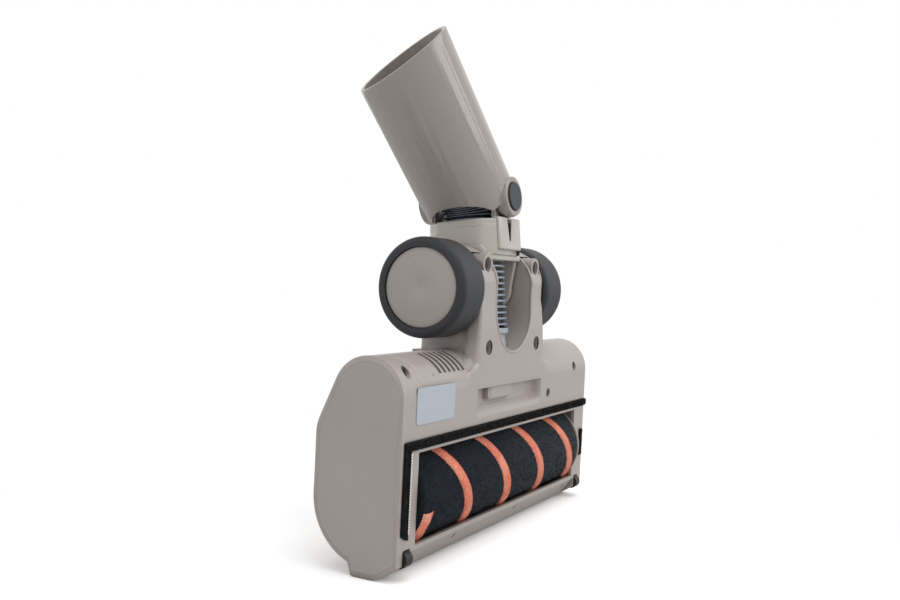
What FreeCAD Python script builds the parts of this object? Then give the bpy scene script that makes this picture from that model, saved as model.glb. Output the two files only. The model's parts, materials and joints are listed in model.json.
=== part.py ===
import FreeCAD, Part
import math
import os
import re

import Sketcher

# Powered floor brush of a cordless stick vacuum cleaner, standing on its nose.
# Width runs along X, the underside faces -Y and the swivel tube points up, along +Z.
# Heights and depths are given from the nose and from the seal strips, then every piece
# is set back by rest_y, so that the origin is the middle of the flat nose.

# Driving dimensions, in millimetres and degrees
SIZES = {
    "body_width": 252,
    "body_depth": 51.4,
    "body_height": 109.5,
    "wall": 2.6,
    "cover_wall": 1.7,
    "rest_y": 20.5,
    "nose_front": 14,
    "nose_back": 27,
    "plate_face": 1.2,
    "seam_y": 21.7,
    "rear_radius": 20.6,
    "toe_y": 3.6,
    "toe_z": 5.9,
    "lip_y": 10.2,
    "lip_z": 1.8,
    "toe_corner_z": 7.4,
    "brow_radius": 20,
    "back_slope": 24,
    "nose_radius": 33.6,
    "nose_centre_z": 38,
    "rail_top": 15.6,
    "rail_chamfer_z": 13.2,
    "rail_half": 112,
    "notch_x": -62,
    "notch_pitch": 80,
    "window_top": 61.8,
    "window_half": 108.2,
    "chamber_top": 66,
    "chamber_half": 110,
    "chamber_wall": 2,
    "seat_gap": 0.2,
    "panel_gap": 0.1,
    "side_cap_thickness": 3,
    "roller_y": 23,
    "roller_z": 36.6,
    "roller_radius": 25,
    "roller_half": 107.4,
    "core_radius": 20,
    "core_wall": 2,
    "shaft_radius": 3,
    "stripe_width": 9.2,
    "stripe_rise": 0.8,
    "stripe_lead": 100.8,
    "stripe_start": 83.2,
    "running": 0.06,
    "clearance": 0.3,
    "bearing_radius": 8,
    "bearing_width": 5,
    "roller_pulley_radius": 10,
    "motor_pulley_radius": 5,
    "pulley_width": 6,
    "belt_thickness": 1.4,
    "motor_y": 18.6,
    "motor_z": 87,
    "motor_radius": 14,
    "motor_length": 46,
    "motor_right": -54,
    "motor_shaft_radius": 1.6,
    "wheel_y": 27.4,
    "wheel_z": 143.5,
    "tyre_radius": 27.9,
    "hub_radius": 22.5,
    "wheel_outer": 70,
    "wheel_inner": 44.2,
    "tyre_round": 3.4,
    "axle_radius": 3.5,
    "fork_outer": 43.5,
    "fork_inner": 25,
    "fork_radius": 25.6,
    "fork_face": 2.2,
    "fork_floor": 107.5,
    "fork_back": 45.5,
    "fork_rear_round": 14,
    "fork_front_round": 4,
    "foot_spread": 3.4,
    "foot_depth": 7,
    "fork_wall": 2.2,
    "trunnion_radius": 9,
    "trunnion_reach": 33,
    "hose_y": 25.6,
    "hose_radius": 17,
    "hose_offset": 0.8,
    "hose_valley": 1.6,
    "hose_bore": 14.8,
    "hose_pitch": 3.5,
    "hose_rings": 19,
    "hose_bend": 26,
    "hose_end_rings": 6,
    "duct_radius": 14.8,
    "duct_wall": 2,
    "duct_flange": 3,
    "duct_top": 100,
    "cuff_low": 93,
    "cuff_top": 121,
    "cuff_radius": 17.6,
    "cuff_rim": 18.4,
    "cuff_rim_height": 3,
    "neck_tilt": 6.2,
    "neck_offset": 2,
    "neck_half": 22,
    "neck_front": 22.6,
    "neck_flat": 15,
    "neck_rear_flat": 11.5,
    "neck_side": 11,
    "neck_wall": 2.2,
    "neck_bottom": 19,
    "neck_shoulder": 33,
    "neck_ledge": 0.7,
    "neck_top": 40,
    "neck_block_rise": 3.2,
    "slot_low": 27,
    "slot_wide": 6,
    "slot_narrow": 2,
    "neck_arm": 3.6,
    "neck_arm_out": 24.3,
    "neck_arm_radius": 12.4,
    "pivot_up": 53.6,
    "ear_radius": 10,
    "ear_wall": 2.6,
    "swivel_angle": 46,
    "tube_radius": 28.2,
    "tube_mouth_radius": 28.4,
    "tube_bore": 26.2,
    "socket_floor": 34,
    "tube_throat": 25.6,
    "tube_length": 102.5,
    "mouth_slope": 19.6,
    "mouth_turn": 9.8,
    "arch_radius": 20,
    "arch_shift": 3,
    "arch_drop": 2,
    "skirt_up": 4,
    "skirt_ear": 12.4,
    "boss_radius": 11.8,
    "boss_face": 29.6,
    "cap_radius": 8.4,
    "cap_face": 30.6,
    "cap_depth": 3,
    "pivot_radius": 5,
    "front_wheel_radius": 4.4,
    "front_wheel_width": 6.2,
    "front_wheel_x": 116.6,
    "front_wheel_y": 3.2,
    "front_wheel_z": 10.3,
    "front_pin_radius": 1.2,
    "strip_low": 64,
    "strip_high": 68.2,
    "strip_side_width": 5.6,
    "recess_half": 45,
    "recess_low": 72.4,
    "recess_high": 89.4,
    "recess_depth": 6.5,
    "recess_ramp": 7,
    "recess_step": 2.4,
    "step_left": 27,
    "step_width": 32,
    "vent_x": -104,
    "vent_slant": 12,
    "vent_pitch": 5,
    "vent_width": 2.2,
    "vent_low_z": 99.5,
    "front_pin_length": 9,
    "hole_left_x": 116.5,
    "hole_left_z": 102,
    "hole_right_x": 104,
    "hole_right_z": 92.5,
    "hole_middle_x": 58,
    "hole_middle_z": 78,
    "fork_hole_x": 33.8,
    "fork_hole_low_z": 111.2,
    "fork_hole_high_z": 158,
    "plate_hole_radius": 2.9,
    "fork_hole_radius": 4.2,
    "post_length": 9,
    "screw_head_radius": 2.7,
    "screw_head_height": 2,
    "screw_radius": 1.5,
    "screw_length": 6,
    "screw_depth": 4,
    "brow_depth": 5.5,
    "fork_screw_depth": 10,
    "fork_screw_length": 16,
    "board_length": 54,
    "board_thickness": 1.6,
    "board_height": 24,
    "label_x": -113,
    "label_z": 75.8,
    "label_width": 40,
    "label_height": 18.6,
    "label_thickness": 0.3,
}

doc = FreeCAD.newDocument("turbo_brush")
sheet = doc.addObject("Spreadsheet::Sheet", "Sizes")
for row, (alias, value) in enumerate(SIZES.items(), start=1):
    sheet.set("A%d" % row, alias)
    sheet.set("B%d" % row, str(value))
    sheet.setAlias("B%d" % row, alias)
doc.recompute()

nodes = []
turned = {"neck": [], "tube": []}


def bound(text):
    """The expression with each size's name pointing at its cell."""
    return re.sub(r"[a-z]\w*", lambda word: ("Sizes." if word.group() in SIZES else "") + word.group(), text)


def number(text):
    """What an expression of sizes comes to."""
    return float(sheet.evalExpression(bound(text)))


def keep(piece, label, group=None):
    """Names a finished sub-part and lists it for the output."""
    piece.Label = label
    nodes.append(piece)
    if group:
        turned[group].append(piece)
    return piece


# Sketches and features of a body


def new_body(name, along_y="0", along_z="0"):
    """An empty body with its own origin at this depth and height."""
    body = doc.addObject("PartDesign::Body", name)
    body.setExpression("Placement.Base.y", bound("%s - rest_y" % along_y))
    body.setExpression("Placement.Base.z", bound(along_z))
    return body


def turned_body(name):
    """An empty body in the frame of the neck or the tube, which is placed at the end."""
    return doc.addObject("PartDesign::Body", name)


def sketch(body, name, role, offset="0"):
    """An empty sketch on one of the body's own origin planes, moved along its normal."""
    drawing = body.newObject("Sketcher::SketchObject", name)
    plane = next(item for item in body.Origin.OriginFeatures if item.Role == role)
    drawing.AttachmentSupport = [(plane, "")]
    drawing.MapMode = "FlatFace"
    drawing.setExpression("AttachmentOffset.Base.z", bound(offset))
    return drawing


def pin_point(drawing, edge, end, across, up):
    """Holds one end of an edge at its two sizes."""
    for kind, text in (("DistanceX", across), ("DistanceY", up)):
        index = drawing.addConstraint(Sketcher.Constraint(kind, -1, 1, edge, end, number(text)))
        drawing.setExpression("Constraints[%d]" % index, bound(text))


def arc_between(start, end, radius, side):
    """An arc from start to end that turns left for side +1 and right for side -1."""
    chord = end - start
    height = math.sqrt(radius ** 2 - (chord.Length / 2) ** 2)
    normal = FreeCAD.Vector(-chord.y, chord.x, 0).normalize()
    centre = (start + end) * 0.5 + normal * height * side
    angles = [math.atan2(point.y - centre.y, point.x - centre.x) for point in (start, end)]
    if side < 0:
        angles.reverse()
    return Part.ArcOfCircle(Part.Circle(centre, FreeCAD.Vector(0, 0, 1), radius), *angles)


def outline(drawing, points):
    """Closes an outline. A third text, such as '+wall', is the radius of the arc that reaches the point,
    which turns left for + and right for -."""
    places = [FreeCAD.Vector(number(point[0]), number(point[1]), 0) for point in points]
    ends = []
    for index, point in enumerate(points):
        start = places[index - 1]
        end = places[index]
        if len(point) == 3:
            side = 1 if point[2][0] == "+" else -1
            edge = drawing.addGeometry(arc_between(start, end, number(point[2][1:]), side))
            ends.append((edge, 1, 2) if side > 0 else (edge, 2, 1))
            turn = drawing.addConstraint(Sketcher.Constraint("Radius", edge, number(point[2][1:])))
            drawing.setExpression("Constraints[%d]" % turn, bound(point[2][1:]))
        else:
            edge = drawing.addGeometry(Part.LineSegment(start, end))
            ends.append((edge, 1, 2))
    for index, (edge, first, last) in enumerate(ends):
        following = ends[(index + 1) % len(ends)]
        drawing.addConstraint(Sketcher.Constraint("Coincident", edge, last, following[0], following[1]))
        pin_point(drawing, edge, last, points[index][0], points[index][1])
    return drawing


def circle(drawing, across, up, radius):
    """A circle held by its centre and radius."""
    centre = FreeCAD.Vector(number(across), number(up), 0)
    edge = drawing.addGeometry(Part.Circle(centre, FreeCAD.Vector(0, 0, 1), number(radius)))
    pin_point(drawing, edge, 3, across, up)
    index = drawing.addConstraint(Sketcher.Constraint("Radius", edge, number(radius)))
    drawing.setExpression("Constraints[%d]" % index, bound(radius))
    return drawing


def box_points(left, low, right, high):
    """The corners of a rectangle."""
    return [(left, low), (right, low), (right, high), (left, high)]


def round_box_points(left, low, right, high, radius):
    """The corners of a rectangle with rounded corners."""
    turn = "+" + radius
    return [
        ("%s + %s" % (left, radius), low),
        ("%s - %s" % (right, radius), low),
        (right, "%s + %s" % (low, radius), turn),
        (right, "%s - %s" % (high, radius)),
        ("%s - %s" % (right, radius), high, turn),
        ("%s + %s" % (left, radius), high),
        (left, "%s - %s" % (high, radius), turn),
        (left, "%s + %s" % (low, radius)),
        ("%s + %s" % (left, radius), low, turn),
    ][1:]


def pad(body, name, drawing, length, backwards=False):
    """Adds material from a sketch."""
    feature = body.newObject("PartDesign::Pad", name)
    feature.Profile = drawing
    feature.setExpression("Length", bound(length))
    feature.Reversed = backwards
    doc.recompute()
    return feature


def pocket(body, name, drawing, length, backwards=False):
    """Takes material away from a sketch, and stops if nothing was cut."""
    before = body.Shape.Volume
    feature = body.newObject("PartDesign::Pocket", name)
    feature.Profile = drawing
    feature.setExpression("Length", bound(length))
    feature.Reversed = backwards
    doc.recompute()
    if not body.Shape.Volume < before:
        raise RuntimeError(name + " cuts nothing")
    return feature


def revolve(body, name, drawing, axis):
    """A full turn of a sketch about one of the body's own axes."""
    feature = body.newObject("PartDesign::Revolution", name)
    feature.Profile = drawing
    line = next(item for item in body.Origin.OriginFeatures if item.Role == axis)
    feature.ReferenceAxis = (line, [""])
    feature.Angle = 360
    doc.recompute()
    return feature


# Primitives


def at(piece, along_x, along_y, along_z, axis=None, set_back=" - rest_y"):
    """Places a primitive, with its own Z turned on to the named axis."""
    if axis == "X":
        piece.Placement.Rotation = FreeCAD.Rotation(FreeCAD.Vector(0, 1, 0), 90)
    if axis == "Y":
        piece.Placement.Rotation = FreeCAD.Rotation(FreeCAD.Vector(1, 0, 0), -90)
    piece.setExpression("Placement.Base.x", bound(along_x))
    piece.setExpression("Placement.Base.y", bound(along_y + set_back))
    piece.setExpression("Placement.Base.z", bound(along_z))
    return piece


def cylinder(name, radius, height, place, axis=None):
    """A cylinder whose foot is at place and which runs along the named axis."""
    piece = doc.addObject("Part::Cylinder", name)
    piece.setExpression("Radius", bound(radius))
    piece.setExpression("Height", bound(height))
    return at(piece, *place, axis=axis)


def block(name, length, width, height, place):
    """A box whose low corner is at place."""
    piece = doc.addObject("Part::Box", name)
    piece.setExpression("Length", bound(length))
    piece.setExpression("Width", bound(width))
    piece.setExpression("Height", bound(height))
    return at(piece, *place)


def cut(name, base, tool):
    """The base without the tool."""
    piece = doc.addObject("Part::Cut", name)
    piece.Base = base
    piece.Tool = tool
    return piece


def join(name, *pieces):
    """Several solids made one."""
    piece = doc.addObject("Part::MultiFuse", name)
    piece.Shapes = list(pieces)
    piece.Refine = True
    return piece


def group(name, pieces):
    """Separate solids kept as one sub-part."""
    piece = doc.addObject("Part::Compound", name)
    piece.Links = pieces
    return piece


# The shell's side outline
# Each outline is drawn in the Y-Z plane: how far in from the strips, then how high above the nose.

REAR_Z = "(body_height - rear_radius)"
BROW_Y = "(body_depth - brow_radius)"
BROW_Z = ("(body_height - rear_radius - ((body_depth - brow_radius - seam_y) * cos(back_slope)"
          " + brow_radius - rear_radius) / sin(back_slope))")
NOSE_Y = "(body_depth - nose_radius)"
HEEL = "(seam_y - plate_face)"
PLATE_INSIDE = "plate_face + wall"
FORK_HOLES = [("%sfork_hole_x" % sign, height) for sign in ("-", "")
              for height in ("fork_hole_low_z", "fork_hole_high_z")]


def hood_side(inset):
    """The cover's outline from the rear seam over the back to the nose, moved in by inset."""
    nose_drop = "sqrt((nose_radius - %s)^2 - (nose_back + 2 - %s)^2)" % (inset, NOSE_Y)
    return [
        ("seam_y + (rear_radius - %s) * cos(back_slope)" % inset,
         "%s + (rear_radius - %s) * sin(back_slope)" % (REAR_Z, inset), "-rear_radius - %s" % inset),
        ("%s + (brow_radius - %s) * cos(back_slope)" % (BROW_Y, inset),
         "%s + (brow_radius - %s) * sin(back_slope)" % (BROW_Z, inset)),
        ("body_depth - %s" % inset, BROW_Z, "-brow_radius - %s" % inset),
        ("body_depth - %s" % inset, "nose_centre_z"),
        ("nose_back + 2", "nose_centre_z - %s" % nose_drop, "-nose_radius - %s" % inset),
    ]


def backwards(start, points):
    """The same outline walked the other way, ending at start."""
    places = [start] + [point[:2] for point in points]
    turns = [point[2] if len(point) == 3 else None for point in points]
    walked = [places[-1]]
    for place, turn in zip(reversed(places[:-1]), reversed(turns)):
        if turn:
            place = place + (("+" if turn[0] == "-" else "-") + turn[1:],)
        walked.append(place)
    return walked


def cavity(gap):
    """The closed outline of the space inside the shell, moved in by gap."""
    inset = "(wall + %s)" % gap
    return [("seam_y", "body_height - %s" % inset)] + hood_side(inset) + [
        ("nose_back - wall - %s" % gap, "wall * 2 + %s" % gap),
        ("nose_front", "wall * 2 + %s" % gap),
        ("%s + %s" % (PLATE_INSIDE, gap), "rail_top - 1 + %s" % gap),
        ("%s + %s" % (PLATE_INSIDE, gap), "body_height - %s" % HEEL),
    ]


def closed_cavity(gap):
    """The cavity with the heel's arc as its last edge."""
    points = cavity(gap)
    points[0] = points[0] + ("-%s - wall - %s" % (HEEL, gap),)
    return points


# Top cover
# One moulding from the rear seam over the roller to the nose. It is cut away behind the fork, where the
# suction duct rises.

cover = new_body("top_cover_body")
outline(sketch(cover, "cover_side", "YZ_Plane", "-body_width / 2"), [
    ("seam_y", "body_height"),
] + hood_side("0") + [
    ("nose_back", "0"),
    ("nose_front", "0"),
    ("nose_front", "wall * 2"),
    ("nose_back - wall", "wall * 2"),
] + backwards(("seam_y", "body_height - cover_wall"), hood_side("cover_wall")))
pad(cover, "cover_shell", cover.Group[-1], "body_width")
outline(sketch(cover, "duct_gap", "XY_Plane", "body_height + 1"),
        box_points("-cuff_radius - 1", "seam_y - 1", "cuff_radius + 1", "hose_y + cuff_radius + 0.4"))
pocket(cover, "duct_cut", cover.Group[-1], "body_height + 1 - chamber_top - 16")
keep(cover, "top_cover")

# Base plate
# The underside shell with the roller window, the rail along the nose, the lower half of the fork that
# carries the wheels and the neck, and the inner walls of the roller chamber.

plate = new_body("base_plate_body")
outline(sketch(plate, "plate_side", "YZ_Plane", "-body_width / 2"), [
    ("seam_y", "body_height"),
    ("plate_face", "body_height - %s" % HEEL, "+%s" % HEEL),
    ("plate_face", "toe_corner_z"),
    ("toe_y", "toe_z"),
    ("lip_y", "lip_z"),
    ("nose_front", "0"),
    ("nose_front", "wall * 2"),
    (PLATE_INSIDE, "rail_top - 1"),
    (PLATE_INSIDE, "body_height - %s" % HEEL),
    ("seam_y", "body_height - wall", "-%s - wall" % HEEL),
])
pad(plate, "plate_shell", plate.Group[-1], "body_width")

FORK_TOP_Z = "(wheel_z + sqrt(fork_radius^2 - (wheel_y - seam_y)^2))"
FORK_FACE_Z = "(wheel_z + sqrt(fork_radius^2 - (wheel_y - fork_face)^2))"
outline(sketch(plate, "fork_side", "YZ_Plane", "-fork_outer"), [
    ("seam_y", "body_height - %s" % HEEL),
    ("seam_y", FORK_TOP_Z),
    ("fork_face", FORK_FACE_Z, "+fork_radius"),
    ("fork_face", "body_height - %s" % HEEL),
])
pad(plate, "fork_half", plate.Group[-1], "fork_outer * 2")


def fork_slot(drawing):
    """The upright slot between the fork's arms, with its round floor."""
    return outline(drawing, [
        ("0", "fork_floor"),
        ("fork_inner", "fork_floor + fork_inner", "+fork_inner"),
        ("fork_inner", "wheel_z + fork_radius + 1"),
        ("-fork_inner", "wheel_z + fork_radius + 1"),
        ("-fork_inner", "fork_floor + fork_inner"),
        ("0", "fork_floor", "+fork_inner"),
    ][1:])


def hollow_arms(body, name, plane, depth, low, boss, side, backwards=False):
    """Empties both arms from the seam, and puts back the screw bosses."""
    rooms = sketch(body, name + "_front", "XZ_Plane", plane)
    for left, right in (("-fork_outer + " + side, "-fork_inner - fork_wall"),
                        ("fork_inner + fork_wall", "fork_outer - " + side)):
        outline(rooms, box_points(left, low, right,
                                  "wheel_z + fork_radius - fork_wall * 2"))
    pocket(body, name, rooms, depth, backwards)
    bosses = sketch(body, name + "_boss_front", "XZ_Plane", plane)
    for across, up in FORK_HOLES:
        circle(bosses, across, up, boss)
    pad(body, name + "_screw_bosses", bosses, depth, not backwards)


def round_uprights(body, name, face, radius, sign):
    """Rounds the arms' outer upright edges at this face, where sign points out of the fork."""
    corners = sketch(body, name + "_top", "XY_Plane", "wheel_z + fork_radius + 1")
    for side in ("-", ""):
        edge = "%s(fork_outer)" % side
        inner = "%s(fork_outer - %s)" % (side, radius)
        outer = "%s(fork_outer + 1)" % side
        depth = "%s %s %s" % (face, "-" if sign == "+" else "+", radius)
        turn = "+" if (side == "-") == (sign == "-") else "-"
        outline(corners, [
            (edge, depth),
            (inner, face, turn + radius),
            (inner, "%s %s 1" % (face, sign)),
            (outer, "%s %s 1" % (face, sign)),
            (outer, depth),
        ])
    pocket(body, name, corners, "wheel_z + fork_radius + 1 - body_height + 2")


def bearing_bosses(body, name, turn):
    """Half rings about the wheel axis that hold the neck's trunnion and the wheel's axle."""
    reach = "(trunnion_radius + running + fork_wall)"
    half = "sqrt(%s^2 - (wheel_y - seam_y)^2)" % reach
    for side, start in (("left", "-fork_outer"), ("right", "fork_inner")):
        ring = sketch(body, "%s_%s_side" % (side, name), "YZ_Plane", start)
        if turn == "low":
            points = [("seam_y", "wheel_z + " + half), ("seam_y", "wheel_z - " + half, "+" + reach)]
        else:
            far = "wheel_y + " + reach
            points = [("seam_y", "wheel_z - " + half), (far, "wheel_z", "+" + reach),
                      ("seam_y", "wheel_z + " + half, "+" + reach)]
            points = points[:2] + points[2:]
        outline(ring, points)
        pad(body, "%s_%s" % (side, name), ring, "fork_outer - fork_inner")


round_uprights(plate, "front_edges", "fork_face", "fork_front_round", "-")
outline(sketch(plate, "foot_front", "XZ_Plane", "-fork_face"), [
    ("-fork_outer - foot_spread", "fork_floor - 8"),
    ("fork_outer + foot_spread", "fork_floor - 8"),
    ("fork_outer - fork_front_round / 2", "fork_floor + 21"),
    ("-fork_outer + fork_front_round / 2", "fork_floor + 21"),
])
pad(plate, "foot", plate.Group[-1], "foot_depth", backwards=True)
fork_slot(sketch(plate, "slot_front", "XZ_Plane", "-fork_face + 1"))
pocket(plate, "slot", plate.Group[-1], "seam_y - fork_face + 2")
hollow_arms(plate, "arm_rooms", "-seam_y", "seam_y - fork_face - fork_wall", "fork_floor + fork_wall",
            "fork_hole_radius + 1.8", "fork_wall", backwards=True)
bearing_bosses(plate, "bearing_boss", "low")

outline(sketch(plate, "partition_front", "YZ_Plane", "-chamber_half"),
        box_points(PLATE_INSIDE + " - 0.5", "chamber_top - chamber_wall",
                   "body_depth - wall - seat_gap * 2", "chamber_top"))
pad(plate, "partition", plate.Group[-1], "chamber_half * 2")
for side, start in (("left", "-chamber_half - chamber_wall"), ("right", "chamber_half")):
    outline(sketch(plate, side + "_chamber_side", "YZ_Plane", start), [
        (PLATE_INSIDE + " - 0.5", "chamber_top"),
        (PLATE_INSIDE + " - 0.5", "rail_top - 3"),
        ("nose_front - 1", "wall * 2"),
        (NOSE_Y, "nose_centre_z - nose_radius + wall + seat_gap * 2"),
        ("body_depth - wall - seat_gap * 2", "nose_centre_z", "+nose_radius - wall - seat_gap * 2"),
        ("body_depth - wall - seat_gap * 2", "chamber_top"),
    ])
    pad(plate, side + "_chamber_wall", plate.Group[-1], "chamber_wall")

# Solid corners for the small front wheels
for side, start in (("left", "-body_width / 2 + side_cap_thickness + seat_gap"),
                    ("right", "chamber_half + chamber_wall")):
    outline(sketch(plate, side + "_corner_side", "YZ_Plane", start), [
        (PLATE_INSIDE + " - 0.5", "rail_top"),
        (PLATE_INSIDE + " - 0.5", "rail_top - 3"),
        ("nose_front - 0.5", "wall * 2 - 0.5"),
        ("nose_front - 0.5", "rail_top"),
    ])
    pad(plate, side + "_corner", plate.Group[-1],
        "body_width / 2 - side_cap_thickness - seat_gap - chamber_half - chamber_wall")

# Finger recess with its raised step, in a tray behind the plate
outline(sketch(plate, "tray_side", "YZ_Plane", "-recess_half - wall"),
        box_points(PLATE_INSIDE + " - 0.5", "recess_low + 2", "plate_face + recess_depth + wall",
                   "recess_high + wall"))
pad(plate, "tray", plate.Group[-1], "recess_half * 2 + wall * 2")
outline(sketch(plate, "recess_side", "YZ_Plane", "-recess_half"), [
    ("plate_face - 1", "recess_low - 1"),
    ("plate_face", "recess_low"),
    ("plate_face + recess_depth", "recess_low + recess_ramp"),
    ("plate_face + recess_depth", "recess_high"),
    ("plate_face - 1", "recess_high"),
])
pocket(plate, "recess", plate.Group[-1], "recess_half * 2", backwards=True)
outline(sketch(plate, "recess_step_side", "YZ_Plane", "-step_left"), [
    ("plate_face + recess_step", "recess_high - 7.6"),
    ("plate_face + recess_depth + 0.5", "recess_high - 8.6"),
    ("plate_face + recess_depth + 0.5", "recess_high + 0.5"),
    ("plate_face + recess_step", "recess_high + 0.5"),
])
pad(plate, "recess_step_block", plate.Group[-1], "step_width")

# Saddles that the motor lies in
for side, start in (("left", "motor_right - motor_length + 6"), ("right", "motor_right - 8")):
    outline(sketch(plate, side + "_saddle_side", "YZ_Plane", start),
            box_points(PLATE_INSIDE + " - 0.5", "motor_z - motor_radius", "motor_y",
                       "motor_z + motor_radius - 1"))
    pad(plate, side + "_saddle", plate.Group[-1], "wall")
circle(sketch(plate, "motor_seat_side", "YZ_Plane", "motor_right - motor_length"),
       "motor_y", "motor_z", "motor_radius + panel_gap")
pocket(plate, "motor_seat", plate.Group[-1], "motor_length", backwards=True)

# Posts behind the plate for the case screws
PLATE_HOLES = [
    ("hole_right_x", "hole_right_z"),
    ("hole_middle_x", "hole_middle_z"),
]
BROW_HOLE = [("-hole_left_x", "hole_left_z")]
for name, places, shift in (("posts", PLATE_HOLES, "0"), ("brow_post", BROW_HOLE, "brow_depth")):
    posts = sketch(plate, name + "_front", "XZ_Plane", "-plate_face - wall + 0.5 - " + shift)
    for across, up in places:
        circle(posts, across, up, "plate_hole_radius + 1.6")
    pad(plate, name, posts, "post_length", backwards=True)

# Window, duct mouth, bearing seats, bores, slots and screw holes
outline(sketch(plate, "window_front", "XZ_Plane", "-plate_face + 1"),
        box_points("-window_half", "rail_top", "window_half", "window_top"))
pocket(plate, "window", plate.Group[-1], "wall + 2")
circle(sketch(plate, "duct_mouth_top", "XY_Plane", "chamber_top + 1"), "0", "hose_y",
       "duct_radius - duct_wall")
pocket(plate, "duct_mouth", plate.Group[-1], "chamber_wall + 2")
circle(sketch(plate, "cuff_seat_top", "XY_Plane", "fork_floor + fork_inner"), "0", "hose_y", "cuff_radius")
pocket(plate, "cuff_seat", plate.Group[-1], "fork_floor + fork_inner - cuff_low")
circle(sketch(plate, "duct_seat_top", "XY_Plane", "cuff_low + 1"), "0", "hose_y",
       "duct_radius + seat_gap")
pocket(plate, "duct_seat", plate.Group[-1], "8")
circle(sketch(plate, "bearing_seats_side", "YZ_Plane", "-chamber_half - chamber_wall - 1"),
       "roller_y", "roller_z", "bearing_radius")
pocket(plate, "bearing_seats", plate.Group[-1], "chamber_half * 2 + chamber_wall * 2 + 2", backwards=True)
circle(sketch(plate, "trunnion_bores_side", "YZ_Plane", "-trunnion_reach - seat_gap"),
       "wheel_y", "wheel_z", "trunnion_radius + running")
pocket(plate, "trunnion_bores", plate.Group[-1], "trunnion_reach * 2 + seat_gap * 2", backwards=True)

outline(sketch(plate, "rail_face_side", "YZ_Plane", "-rail_half"), [
    ("plate_face - 1", "rail_chamfer_z"),
    ("plate_face", "rail_chamfer_z"),
    ("lip_y", "lip_z"),
    ("lip_y - 1", "lip_z - 2"),
    ("plate_face - 1", "toe_z - 2"),
])
pocket(plate, "rail_face", plate.Group[-1], "rail_half * 2", backwards=True)
notches = sketch(plate, "notch_front", "XZ_Plane", "0")
for count in range(3):
    middle = "(notch_x + %d * notch_pitch)" % count
    outline(notches, box_points(middle + " - 1", "rail_chamfer_z - 4.2", middle + " + 1", "rail_chamfer_z - 1.8"))
pocket(plate, "rail_notches", notches, "plate_face + 4.4")

vents = sketch(plate, "vent_top", "XY_Plane", "body_height + 1")
for count in range(6):
    middle = "(vent_x + %d * vent_pitch)" % count
    outline(vents, [
        (middle + " - vent_width / 2 + vent_slant", "plate_face - 1"),
        (middle + " + vent_width / 2 + vent_slant", "plate_face - 1"),
        (middle + " + vent_width / 2 - vent_slant", "seam_y - 1"),
        (middle + " - vent_width / 2 - vent_slant", "seam_y - 1"),
    ])
pocket(plate, "vents", vents, "body_height + 1 - vent_low_z")

for side, sign in (("left", "-"), ("right", "")):
    middle = "(%sfront_wheel_x)" % sign
    half = "(front_wheel_width / 2 + clearance)"
    outline(sketch(plate, side + "_wheel_slot_front", "XZ_Plane", "1"),
            box_points("%s - %s" % (middle, half), "-1", "%s + %s" % (middle, half),
                       "front_wheel_z + front_wheel_radius + clearance"))
    pocket(plate, side + "_wheel_slot", plate.Group[-1],
           "front_wheel_y + front_wheel_radius + clearance + 1")
    circle(sketch(plate, side + "_front_pin_side", "YZ_Plane", "%s - front_pin_length / 2" % middle),
           "front_wheel_y", "front_wheel_z", "front_pin_radius")
    pocket(plate, side + "_front_pin_bore", plate.Group[-1], "front_pin_length", backwards=True)

for name, places, shift in (("plate_holes", PLATE_HOLES, "0"), ("brow_hole", BROW_HOLE, "brow_depth")):
    holes = sketch(plate, name + "_front", "XZ_Plane", "-plate_face + 1")
    for across, up in places:
        circle(holes, across, up, "plate_hole_radius")
    pocket(plate, name, holes, "screw_depth + 1 + " + shift)
holes = sketch(plate, "fork_hole_front", "XZ_Plane", "-1")
for across, up in FORK_HOLES:
    circle(holes, across, up, "fork_hole_radius")
pocket(plate, "fork_holes", holes, "fork_screw_depth - 1")
holes = sketch(plate, "shank_front", "XZ_Plane", "0")
for across, up in PLATE_HOLES + BROW_HOLE + FORK_HOLES:
    circle(holes, across, up, "screw_radius")
pocket(plate, "shank_bores", holes, "fork_screw_depth + fork_screw_length")
keep(plate, "base_plate")

# Cover of the fork
# The upper half of the fork, screwed on from the front. It also closes the cover behind the duct.

yoke = new_body("yoke_cover_body")
BACK_Z = "(wheel_z + sqrt(fork_radius^2 - (fork_back - wheel_y)^2))"
REAR_END_Y = "(seam_y + rear_radius * cos(back_slope))"
REAR_END_Z = "(%s + rear_radius * sin(back_slope))" % REAR_Z
outline(sketch(yoke, "yoke_side", "YZ_Plane", "-fork_outer"), [
    ("seam_y", "body_height"),
    (REAR_END_Y, REAR_END_Z, "-rear_radius"),
    ("fork_back", "%s - (fork_back - %s) / tan(back_slope)" % (REAR_END_Z, REAR_END_Y)),
    ("fork_back", BACK_Z),
    ("seam_y", FORK_TOP_Z, "+fork_radius"),
])
pad(yoke, "yoke_block", yoke.Group[-1], "fork_outer * 2")
round_uprights(yoke, "rear_edges", "fork_back", "fork_rear_round", "+")
fork_slot(sketch(yoke, "yoke_slot_front", "XZ_Plane", "-seam_y + 1"))
pocket(yoke, "yoke_slot", yoke.Group[-1], "fork_back - seam_y + 2")
hollow_arms(yoke, "yoke_rooms", "-seam_y", "fork_back - seam_y - fork_wall - fork_rear_round * 0.22",
            "body_height - rear_radius", "screw_radius + 2", "(fork_wall + fork_rear_round * 0.26)")
outline(sketch(yoke, "yoke_foot_side", "YZ_Plane", "-fork_outer"), [
    ("seam_y", "body_height"),
    (REAR_END_Y, REAR_END_Z, "-rear_radius"),
    ("fork_back + 1", "%s - (fork_back + 1 - %s) / tan(back_slope)" % (REAR_END_Z, REAR_END_Y)),
    ("fork_back + 1", "%s - rear_radius" % REAR_Z),
    ("seam_y", "%s - rear_radius" % REAR_Z),
])
pocket(yoke, "yoke_foot", yoke.Group[-1], "fork_outer * 2", backwards=True)
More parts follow.
